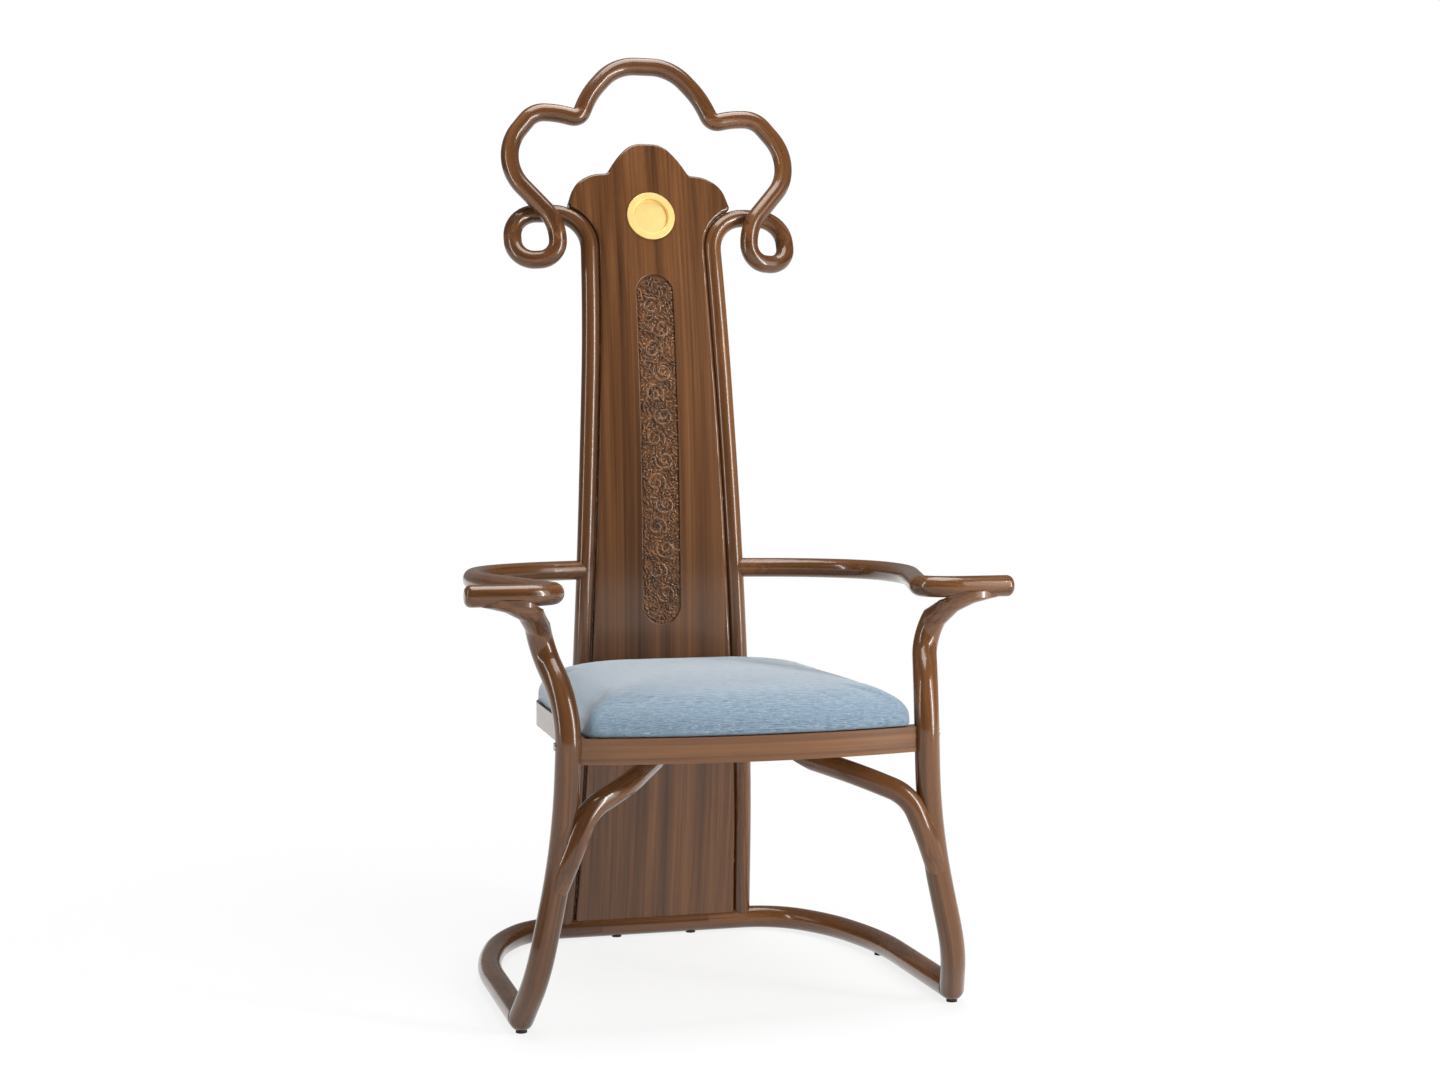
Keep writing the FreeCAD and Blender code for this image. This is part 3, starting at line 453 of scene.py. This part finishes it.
def paint(node, material):
    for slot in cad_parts[node].material_slots:
        slot.material = material


for node, way in STRAIGHT.items():
    paint(node, WALNUT[way])
print("plank and rails dressed:", len(STRAIGHT))

# %% [markdown]
# What holds the chair together is plain timber, plywood, beech dowels and zinc-plated steel. Only
# the ends of a few bolts and screws show, at the sides and the back. The rest could be left bare,
# but it shows when the chair is taken apart, so each piece still gets a finish of its own.

# %% Hidden timber, board and metal
TIMBER_BANDS = (1.5, 60, 60)
TIMBER_PORES = (30, 700, 700)


def plain_timber(name, dark, light, along, roughness):
    finish = Finish(name)
    grain = wood_grain(finish, along)
    bands = finish.noise(finish.stretch(grain, TIMBER_BANDS), detail=4, distortion=0.4)
    pores = finish.noise(finish.stretch(grain, TIMBER_PORES), detail=2)
    finish.set("Base Color", finish.blend(finish.ramp(bands, 0.3, 0.7), dark, light))
    finish.set("Roughness", roughness + pores * 0.15)
    finish.bump(pores, 0.0001, 0.4)
    return finish.material


def plated_steel():
    finish = Finish("zinc_plated_steel", Metallic=1.0)
    cloud = finish.noise(finish.place(), 260, 3)
    finish.set("Base Color", finish.blend(cloud, colour(176, 178, 180), colour(205, 207, 208)))
    finish.set("Roughness", 0.26 + cloud * 0.2)
    finish.bump(cloud, 0.00005, 0.3)
    return finish.material


def felt_glide():
    finish = Finish("felt_glide", Roughness=0.9)
    fibre = finish.noise(finish.place(), 1400, 4, 0.7)
    finish.set("Base Color", finish.blend(fibre, colour(40, 35, 31), colour(70, 62, 55)))
    finish.bump(fibre, 0.0002, 0.6)
    return finish.material


FRAME_WOOD = plain_timber("frame_timber", colour(146, 110, 76), colour(184, 147, 106), "x", 0.5)
BOARD = plain_timber("seat_plywood", colour(176, 142, 101), colour(208, 177, 134), "x", 0.55)
BEECH = plain_timber("beech_dowel", colour(186, 150, 110), colour(214, 182, 140), "z", 0.5)
STEEL = plated_steel()
HIDDEN = {"cross_rail": FRAME_WOOD, "seat_board": BOARD, "floor_glides": felt_glide()}
ENDINGS = {"corner_block": FRAME_WOOD, "dowels": BEECH}
ENDINGS.update({"screws": STEEL, "bolts": STEEL, "pin": STEEL})
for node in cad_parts:
    for ending, material in ENDINGS.items():
        if node.endswith("_" + ending):
            HIDDEN[node] = material
for node, material in HIDDEN.items():
    paint(node, material)
print("hidden pieces dressed:", len(HIDDEN))

# %% [markdown]
# The disc under the crest is pale gold brass with a flat rim and a shallow dish. It was turned on
# a lathe, and turned metal has very fine rings round its centre, which stretch the highlights.
# Cutting them into the mesh would take thousands of faces, so a wave of the distance from the
# centre bumps it.

# %% Brass
RINGS = 9000


def brass():
    finish = Finish("pale_gold_brass", Metallic=0.8)
    low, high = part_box("brass_disc")
    place = finish.place()
    from_middle = finish.vector("SUBTRACT", place, (low + high) / 2)
    radius = finish.length(finish.vector("MULTIPLY", from_middle, (1, 0, 1)))
    rings = (radius * RINGS).sine()
    cloud = finish.noise(place, 90, 3)
    finish.set("Base Color", finish.blend(cloud, colour(247, 208, 128), colour(253, 222, 152)))
    finish.set("Roughness", 0.42 + cloud * 0.1)
    finish.bump(rings, 0.00002, 0.25)
    return finish.material


paint("brass_disc", brass())
print("disc dressed, rings about", round(1000 * math.tau / RINGS, 2), "mm apart")

# %% [markdown]
# The strip in the back is carved in low relief with curling stems and leaves. The finish is the
# same walnut with the marks of small gouges, rubbed smooth. Its colour is darker where the marks
# dip, which is painted shade in their hollows, and it also varies in random patches.

# %% Carved walnut
def carved_walnut():
    lacquer = {"Coat_Roughness": 0.12, "Coat_IOR": 1.5}
    finish = Finish("carved_walnut", Specular_IOR_Level=0.6, Specular_Tint=WARM, **lacquer)
    place = finish.place()
    tool_marks = finish.noise(place, 190, 2, 0.5)
    patches = finish.noise(place, 60, 2)
    # painted shade: the colour is darker where the gouge marks dip, mixed with random patches of
    # tone
    hollow_shade_and_tone = finish.ramp(tool_marks * 0.5 + patches * 0.5, 0.35, 0.65)
    finish.set("Base Color", finish.blend(hollow_shade_and_tone, colour(60, 35, 18), colour(128, 84, 50)))
    finish.set("Roughness", 0.16 + tool_marks * 0.10)
    finish.set("Coat Weight", 0.3)
    finish.bump(tool_marks, 0.0006, 0.5)
    return finish.material


CARVED = carved_walnut()
print("carving finish:", CARVED.name)

# %% [markdown]
# A carver repeats a few cuts many times, so the carving could be sculpted or built from a few
# shapes that are set down again and again. Geometry Nodes do the second. Shaper writes such a tree
# with named inputs, ends it in real faces with a finish on them, and hands the result back as a
# plain mesh.

# %% A node tree for shapes
VECTOR_SOCKETS, FLOAT_SOCKETS = (0, 1), (2, 3)
VECTOR_RESULT, FLOAT_RESULT = 0, 1


def baked(piece):
    """The mesh of an object with its modifiers worked out, which are then taken off."""
    seen = bpy.context.evaluated_depsgraph_get()
    mesh = bpy.data.meshes.new_from_object(piece.evaluated_get(seen))
    piece.modifiers.clear()
    return mesh


class Shaper(Tree):
    """A geometry tree with named inputs, whose result goes out with its finish on it."""

    def __init__(self, name):
        super().__init__(bpy.data.node_groups.new(name, "GeometryNodeTree"))
        self.identifiers = {}
        geometry = "NodeSocketGeometry"
        self.add_input("Geometry", geometry)
        self.tree.interface.new_socket("Geometry", in_out="OUTPUT", socket_type=geometry)
        self.way_in = self.node("NodeGroupInput")

    def add_input(self, name, kind):
        made = self.tree.interface.new_socket(name, in_out="INPUT", socket_type=kind)
        self.identifiers[name] = made.identifier

    def take(self, name, kind):
        self.add_input(name, "NodeSocket" + kind)
        return self.way_in.outputs[name]

    def shape(self, kind, values=None, settings=None):
        return self.node("GeometryNode" + kind, settings, values).outputs[0]

    def vector(self, **parts):
        return self.node("ShaderNodeCombineXYZ", None, parts).outputs[0]

    def random(self, low, high, seed):
        is_vector = isinstance(low, tuple)
        first, second = VECTOR_SOCKETS if is_vector else FLOAT_SOCKETS
        settings = {"data_type": "FLOAT_VECTOR" if is_vector else "FLOAT"}
        values = {first: low, second: high, "Seed": seed}
        made = self.node("FunctionNodeRandomValue", settings, values)
        return made.outputs[VECTOR_RESULT if is_vector else FLOAT_RESULT]

    def finish(self, shape, material):
        real = self.shape("RealizeInstances", {0: shape})
        dressed = self.shape("SetMaterial", {"Geometry": real, "Material": material})
        self.node("NodeGroupOutput", None, {0: dressed})

    def run(self, piece, sizes):
        modifier = piece.modifiers.new("shape", "NODES")
        modifier.node_group = self.tree
        for name, value in sizes.items():
            modifier[self.identifiers[name]] = value
        return baked(piece)


# %% [markdown]
# The tree scatters small leaves over the strip's face and lays a row of scrolls up the middle,
# each turned against the last and swayed to the other side. A leaf is a squeezed ball, and a
# scroll is a spiral with a round stalk. The pattern is a generic traditional one, and one seed
# fixes all of it.

# %% Leaves and scrolls
MOST_LEAVES = 240000.0
LEAF_SHAPE = (0.40, 0.55, 1.0)
LEAF_TILT = 0.35
LEAF_TURN = 6.28
LEAF_RANGE = (0.6, 1.15)
SPIRAL = {"Resolution": 14, "Rotations": 1.6, "Height": 0.0}
SPIRAL.update({"Start Radius": 0.12, "End Radius": 1.0})
STALK = {"Resolution": 7, "Radius": 0.17}
SWAY = 0.45


def leaves_on_face(tree, seed):
    gap = tree.take("Leaf gap", "Float")
    size = tree.take("Leaf size", "Float")
    face = tree.way_in.outputs["Geometry"]
    spots = tree.shape(
        "DistributePointsOnFaces",
        {"Mesh": face, "Distance Min": gap, "Density Max": MOST_LEAVES, "Seed": seed},
        {"distribute_method": "POISSON"},
    )
    ball = tree.shape("MeshIcoSphere", {"Radius": 1.0, "Subdivisions": 2})
    leaf = tree.shape("Transform", {"Geometry": ball, "Scale": LEAF_SHAPE})
    turn = tree.random((-LEAF_TILT, 0.0, -LEAF_TILT), (LEAF_TILT, LEAF_TURN, LEAF_TILT), seed)
    sizes = Value(tree, size) * tree.random(*LEAF_RANGE, seed)
    values = {"Points": spots, "Instance": leaf, "Rotation": turn, "Scale": sizes}
    return tree.shape("InstanceOnPoints", values)


def row_of_scrolls(tree):
    gap = tree.take("Scroll gap", "Float")
    count = tree.take("Scroll count", "Int")
    start = tree.take("Scroll start", "Vector")
    radius = tree.take("Scroll radius", "Float")
    spiral = tree.shape("CurveSpiral", SPIRAL)
    upright = tree.shape("Transform", {"Geometry": spiral, "Rotation": (math.pi / 2, 0, 0)})
    stalk = tree.shape("CurvePrimitiveCircle", STALK)
    values = {"Curve": upright, "Profile Curve": stalk, "Fill Caps": True}
    scroll = tree.shape("CurveToMesh", values)
    values = {"Count": count, "Start Location": start, "Offset": tree.vector(Z=gap)}
    row = tree.shape("MeshLine", values)
    index = Value(tree, tree.shape("InputIndex"))
    flip = tree.vector(Y=index * math.pi)
    sway = (index * math.pi + math.pi / 2).sine() * radius * SWAY
    swayed = tree.shape("SetPosition", {"Geometry": row, "Offset": tree.vector(X=sway)})
    values = {"Points": swayed, "Instance": scroll, "Rotation": flip, "Scale": radius}
    return tree.shape("InstanceOnPoints", values)


def foliage_tree():
    tree = Shaper("carved_foliage")
    seed = tree.take("Seed", "Int")
    material = tree.take("Material", "Material")
    leaves = leaves_on_face(tree, seed)
    scrolls = row_of_scrolls(tree)
    joined = tree.node("GeometryNodeJoinGeometry")
    for part in (scrolls, leaves):
        tree.put(joined.inputs[0], part)
    tree.finish(joined.outputs[0], material)
    return tree


foliage = foliage_tree()
print("inputs of the carving:", sorted(foliage.identifiers))

# %% [markdown]
# The strip leans and curves with the back, but a pattern is easiest to lay out flat. So the face
# is drawn flat with straight sides and round ends, carved, and then bent onto the strip. The line
# that it is bent to is read from the front faces of the strip in the frame.

# %% The strip's face
LEAF_SINK = 0.0004
EDGE = 0.0032
FACE_STEP = 0.004
FRONT_FACING = -0.8
ROUND_STEPS = 32


def strip_line():
    """Places up the middle of the strip's face: their depths, heights and distances along it."""
    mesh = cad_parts["carved_relief"].data
    points, triangles = positions(mesh), corners(mesh)
    a, b, c = (points[triangles[:, i]] for i in range(3))
    facing = np.cross(b - a, c - a)
    facing /= np.maximum(np.linalg.norm(facing, axis=1), 1e-12)[:, None]
    front = points[np.unique(triangles[facing[:, 1] < FRONT_FACING])]
    front = front[front[:, 2].argsort()]
    heights = np.arange(front[0, 2], front[-1, 2], FACE_STEP)
    depths = np.interp(heights, front[:, 2], front[:, 1])
    lengths = np.hypot(np.diff(depths), np.diff(heights))
    return depths, heights, np.concatenate([[0], np.cumsum(lengths)])


def strip_outline(half_width, length):
    """The face laid flat, a little inside its rim: straight sides and round ends."""
    straight = length / 2 - half_width
    turns = [math.pi * step / ROUND_STEPS for step in range(ROUND_STEPS + 1)]
    rim = [(half_width * math.cos(t), straight + half_width * math.sin(t)) for t in turns]
    rim += [(-x, -z) for x, z in rim]
    shape = bmesh.new()
    middle = length / 2 + EDGE
    face = shape.faces.new([shape.verts.new((x, LEAF_SINK, z + middle)) for x, z in rim])
    face.normal_update()
    if face.normal.y > 0:
        face.normal_flip()
    mesh = bpy.data.meshes.new("carving_face")
    shape.to_mesh(mesh)
    shape.free()
    return mesh


def bend_to_strip(mesh, line):
    """Lays what was carved flat on the leaning, slightly curved strip."""
    depths, heights, lengths = line
    points = positions(mesh)
    lean = np.arctan2(np.gradient(depths), np.gradient(heights))
    at_depth, at_height, at_lean = (
        np.interp(points[:, 2], lengths, values) for values in (depths, heights, lean)
    )
    points[:, 2] = at_height - points[:, 1] * np.sin(at_lean)
    points[:, 1] = at_depth + points[:, 1] * np.cos(at_lean)
    set_positions(mesh, points)


line = strip_line()
print("strip, mm along its curve:", round(1000 * line[2][-1]))

# %% Carve the strip
LEAF_GAP = 0.0042
LEAF_SIZE = 0.0054
SCROLL_GAP = 0.036
SCROLL_SHARE = 0.62


def shade_smooth(mesh):
    for polygon in mesh.polygons:
        polygon.use_smooth = True


low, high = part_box("carved_relief")
strip_half = (high.x - low.x) / 2 - EDGE
strip_length = line[2][-1] - 2 * EDGE
scroll_count = int((strip_length - strip_half) / SCROLL_GAP)
first_scroll = EDGE + (strip_length - SCROLL_GAP * (scroll_count - 1)) / 2
carver = new_mesh_object("carver", strip_outline(strip_half, strip_length))
carving_sizes = {
    "Leaf gap": LEAF_GAP,
    "Leaf size": LEAF_SIZE,
    "Scroll gap": SCROLL_GAP,
    "Scroll count": scroll_count,
    "Scroll start": Vector((0, 0, first_scroll)),
    "Scroll radius": strip_half * SCROLL_SHARE,
    "Seed": SEED,
    "Material": CARVED,
}
carving_mesh = foliage.run(carver, carving_sizes)
bpy.data.objects.remove(carver)
bend_to_strip(carving_mesh, line)
shade_smooth(carving_mesh)
add_piece("carved_foliage", carving_mesh, CARVED)
paint("carved_relief", CARVED)
print("carving:", len(carving_mesh.polygons), "faces,", scroll_count, "scrolls")

# %% [markdown]
# The seat is a foam pad in a woven cover, pulled down over a board. Its top is crowned and its
# sides draw in. It could be sculpted, but a simulated cover with air pressure inside rounds itself
# as stuffing does. The pad starts a little small, and its movement is capped so that it stays the
# size of the piece in the frame. Its underside stays flat on the board.

# %% Start of the cushion
VOXEL = 0.005
START_SHRINK = 0.997
JOIN = 1e-5
SMOOTHING = 2


def joined_copy(node):
    """The node's mesh with its loose triangles joined and facing outwards."""
    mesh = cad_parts[node].data.copy()
    shape = bmesh.new()
    shape.from_mesh(mesh)
    bmesh.ops.remove_doubles(shape, verts=shape.verts, dist=JOIN)
    bmesh.ops.recalc_face_normals(shape, faces=shape.faces)
    shape.to_mesh(mesh)
    shape.free()
    return mesh


def cushion_start():
    mesh = joined_copy("seat_cushion")
    low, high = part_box("seat_cushion")
    about = Matrix.Translation(((low.x + high.x) / 2, (low.y + high.y) / 2, low.z))
    shrink = Matrix.Diagonal((START_SHRINK, START_SHRINK, START_SHRINK, 1))
    mesh.transform(about @ shrink @ about.inverted())
    pad = new_mesh_object("cushion_start", mesh)
    remesh = pad.modifiers.new("remesh", "REMESH")
    remesh.mode = "VOXEL"
    remesh.voxel_size = VOXEL
    pad.data = baked(pad)
    smooth = pad.modifiers.new("smooth", "SMOOTH")
    smooth.iterations = SMOOTHING
    pad.data = baked(pad)
    return pad


pad = cushion_start()
print("cushion starts with", len(pad.data.vertices), "points")

# %% Upholster the seat
MOVE_CAP = 0.0025
PRESSURE = 3.0
FRAMES = 20


def inflate(pad, floor_height):
    start = positions(pad.data)
    held = pad.vertex_groups.new(name="held")
    low_points = np.nonzero(start[:, 2] < floor_height + VOXEL)[0]
    held.add([int(i) for i in low_points], 1.0, "REPLACE")
    settings = pad.modifiers.new("cloth", "CLOTH").settings
    settings.use_pressure = True
    settings.uniform_pressure_force = PRESSURE
    settings.vertex_group_mass = "held"
    settings.effector_weights.gravity = 0.0
    scene = bpy.context.scene
    for number in range(1, FRAMES + 1):
        scene.frame_set(number)
    moved = positions(baked(pad))
    scene.frame_set(1)
    step = moved - start
    size = np.linalg.norm(step, axis=1)
    return start + step * np.minimum(1, MOVE_CAP / np.maximum(size, 1e-9))[:, None]


def finish_cushion(pad, floor_height):
    """One subdivision, and nothing below the board."""
    subdivision = pad.modifiers.new("subdivision", "SUBSURF")
    subdivision.levels = subdivision.render_levels = 1
    mesh = baked(pad)
    points = positions(mesh)
    points[:, 2] = np.maximum(points[:, 2], floor_height)
    set_positions(mesh, points)
    shade_smooth(mesh)
    return mesh


pad_low, pad_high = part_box("seat_cushion")
set_positions(pad.data, inflate(pad, pad_low.z))
pad.vertex_groups.clear()
cushion_mesh = finish_cushion(pad, pad_low.z)
bpy.data.objects.remove(pad)
print("cushion:", len(cushion_mesh.polygons), "faces")
print("height of the pad in the frame:", round(pad_high.z - pad_low.z, 3), "m")

# %% [markdown]
# A woven cover follows the pad, so its threads are laid out as if the pad were pressed flat. The
# cover could be unwrapped, but here a point on the side is pushed outwards by as much as it lies
# below the top, which keeps the rows of thread even over the edge. The flat place is kept as an
# attribute. The weave reads it: waves for the two sets of threads, and slubs and pale flecks along
# the rows.

# %% Lay the cloth
THREAD = 0.0026
ROW = 0.0036
SLUB = (60, 330, 1)
FLECK = (180, 420, 1)


def lay_cloth(mesh):
    points = positions(mesh)
    normals = np.zeros(len(mesh.vertices) * 3, np.float32)
    mesh.vertex_normals.foreach_get("vector", normals)
    normals = normals.reshape(-1, 3)
    drop = points[:, 2].max() - points[:, 2]
    flat = [points[:, 0] + normals[:, 0] * drop, points[:, 1] + normals[:, 1] * drop, 0 * drop]
    flat = np.stack(flat, 1)
    keep_places(mesh, "cloth", flat)
    return np.ptp(flat, axis=0)


def woven_cloth():
    sheen = {"Sheen_Weight": 0.9, "Sheen_Roughness": 0.35}
    finish = Finish("grey_blue_cloth", Specular_IOR_Level=0.2, **sheen)
    flat = finish.attribute("cloth")
    parts = finish.node("ShaderNodeSeparateXYZ", None, {0: flat}).outputs
    warp = (Value(finish, parts["X"]) * (math.tau / THREAD)).sine()
    weft = (Value(finish, parts["Y"]) * (math.tau / ROW)).sine()
    slub = finish.noise(finish.stretch(flat, SLUB), detail=1)
    fleck = finish.ramp(finish.noise(finish.stretch(flat, FLECK), detail=1), 0.52, 0.75)
    thread = warp * weft * 0.35 + weft * 0.35 + (slub - 0.5) * 2.7
    light = finish.ramp(thread, -1.1, 1.1)
    body = finish.blend(light, colour(84, 106, 124), colour(146, 166, 182))
    finish.set("Base Color", finish.blend(fleck * 0.5, body, colour(178, 193, 204)))
    finish.set("Roughness", 0.82 + slub * 0.1)
    finish.bump(thread, 0.0004, 0.7)
    return finish.material


print("cloth laid flat:", lay_cloth(cushion_mesh).round(3))
cushion = add_piece("seat_cushion_cover", cushion_mesh, woven_cloth())
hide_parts("seat_cushion")

# %% [markdown]
# The chair stands on a white studio floor under a white sky. Near the chair the floor is mostly
# its own glow, and for the rest a real surface that keeps a soft shadow. Farther off it glows
# fully and meets the sky without a line. More light would make it white too, but would bleach the
# chair.

# %% Floor
FLOOR_GLOW = 0.82
FLOOR_REACH = 40.0
SHADOW_ENDS = (0.5, 1.4)
WHITE = (1, 1, 1, 1)


def studio_floor():
    finish = Finish("studio_floor", Roughness=0.9, Specular_IOR_Level=0.0)
    finish.set("Base Color", (0.93, 0.93, 0.93, 1))
    distance = finish.length(finish.place())
    away = finish.ramp(distance, *SHADOW_ENDS) * (1 - FLOOR_GLOW) + FLOOR_GLOW
    glow = finish.node("ShaderNodeEmission", None, {"Color": WHITE, "Strength": 1.0}).outputs[0]
    rays = finish.node("ShaderNodeLightPath").outputs
    mirrored = Value(finish, rays["Is Glossy Ray"]) + rays["Is Transmission Ray"]
    seen = finish.ramp(mirrored + rays["Is Camera Ray"], 0.0, 1.0)
    values = {0: away * seen, 1: finish.shader.outputs[0], 2: glow}
    mixed = finish.node("ShaderNodeMixShader", None, values)
    finish.put(finish.output.inputs["Surface"], mixed.outputs[0])
    return finish.material


floor_mesh = bpy.data.meshes.new("floor")
r = FLOOR_REACH
floor_mesh.from_pydata([(-r, -r, 0), (r, -r, 0), (r, r, 0), (-r, r, 0)], [], [(0, 1, 2, 3)])
floor_mesh.materials.append(studio_floor())
floor = new_mesh_object("floor", floor_mesh)
print("floor reaches", FLOOR_REACH, "m each way")

# %% [markdown]
# The camera sees a white sky. Lacquer and brass see a dimmer one, brighter behind the chair than
# behind the camera, as in a studio whose front is kept dark so that dark wood doesn't turn pale.
# The light is soft: a broad panel overhead, another at the front right, and a narrow bright strip
# on each side, which draws a pale line down every rod.

# %% World and lamps
AMBIENT = 0.28
DIM = 0.06
GLOSS = 0.22
BEHIND_CAMERA, BEHIND_CHAIR = -0.2, 0.95
SEAT = (0, 0, 0.6)

world = bpy.data.worlds.new("studio")
world.use_nodes = True
bpy.context.scene.world = world
world.node_tree.nodes.clear()
sky = Tree(world.node_tree)
rays = sky.node("ShaderNodeLightPath").outputs
outward = sky.node("ShaderNodeTexCoord").outputs["Generated"]
way = sky.node("ShaderNodeSeparateXYZ", None, {0: outward}).outputs["Y"]
limits = {"From Min": BEHIND_CAMERA, "From Max": BEHIND_CHAIR, "To Min": DIM, "To Max": GLOSS}
backdrop = sky.number("ShaderNodeMapRange", {"clamp": True}, {"Value": way, **limits})
mirrored = Value(sky, rays["Is Glossy Ray"]) + rays["Is Transmission Ray"]
ambient = Value(sky, rays["Is Diffuse Ray"]) * AMBIENT
lit = backdrop * mirrored + rays["Is Camera Ray"] + ambient
background = sky.node("ShaderNodeBackground", None, {"Color": WHITE, "Strength": lit})
sky.node("ShaderNodeOutputWorld", None, {"Surface": background.outputs[0]})


def softbox(name, place, aim, width, height, power):
    lamp = bpy.data.lights.new(name, "AREA")
    lamp.shape = "RECTANGLE"
    lamp.size = width
    lamp.size_y = height
    lamp.energy = power
    made = bpy.data.objects.new(name, lamp)
    made.location = place
    made.rotation_euler = (Vector(aim) - Vector(place)).to_track_quat("-Z", "Y").to_euler()
    bpy.context.scene.collection.objects.link(made)


softbox("overhead", (0.2, 0.1, 3.4), SEAT, 2.0, 2.0, 74)
softbox("right_front", (1.6, -1.65, 1.35), (0.55, 0.1, 0.85), 1.3, 1.9, 18)
softbox("right_strip", (1.5, -1.75, 1.3), (0.3, 0, 0.85), 0.2, 2.1, 34)
softbox("left_strip", (-2.3, -0.5, 1.5), (0, 0, 0.9), 0.2, 2.2, 18)
bpy.context.scene.view_settings.view_transform = "Standard"
print("lamps:", [light.name for light in bpy.data.lights])
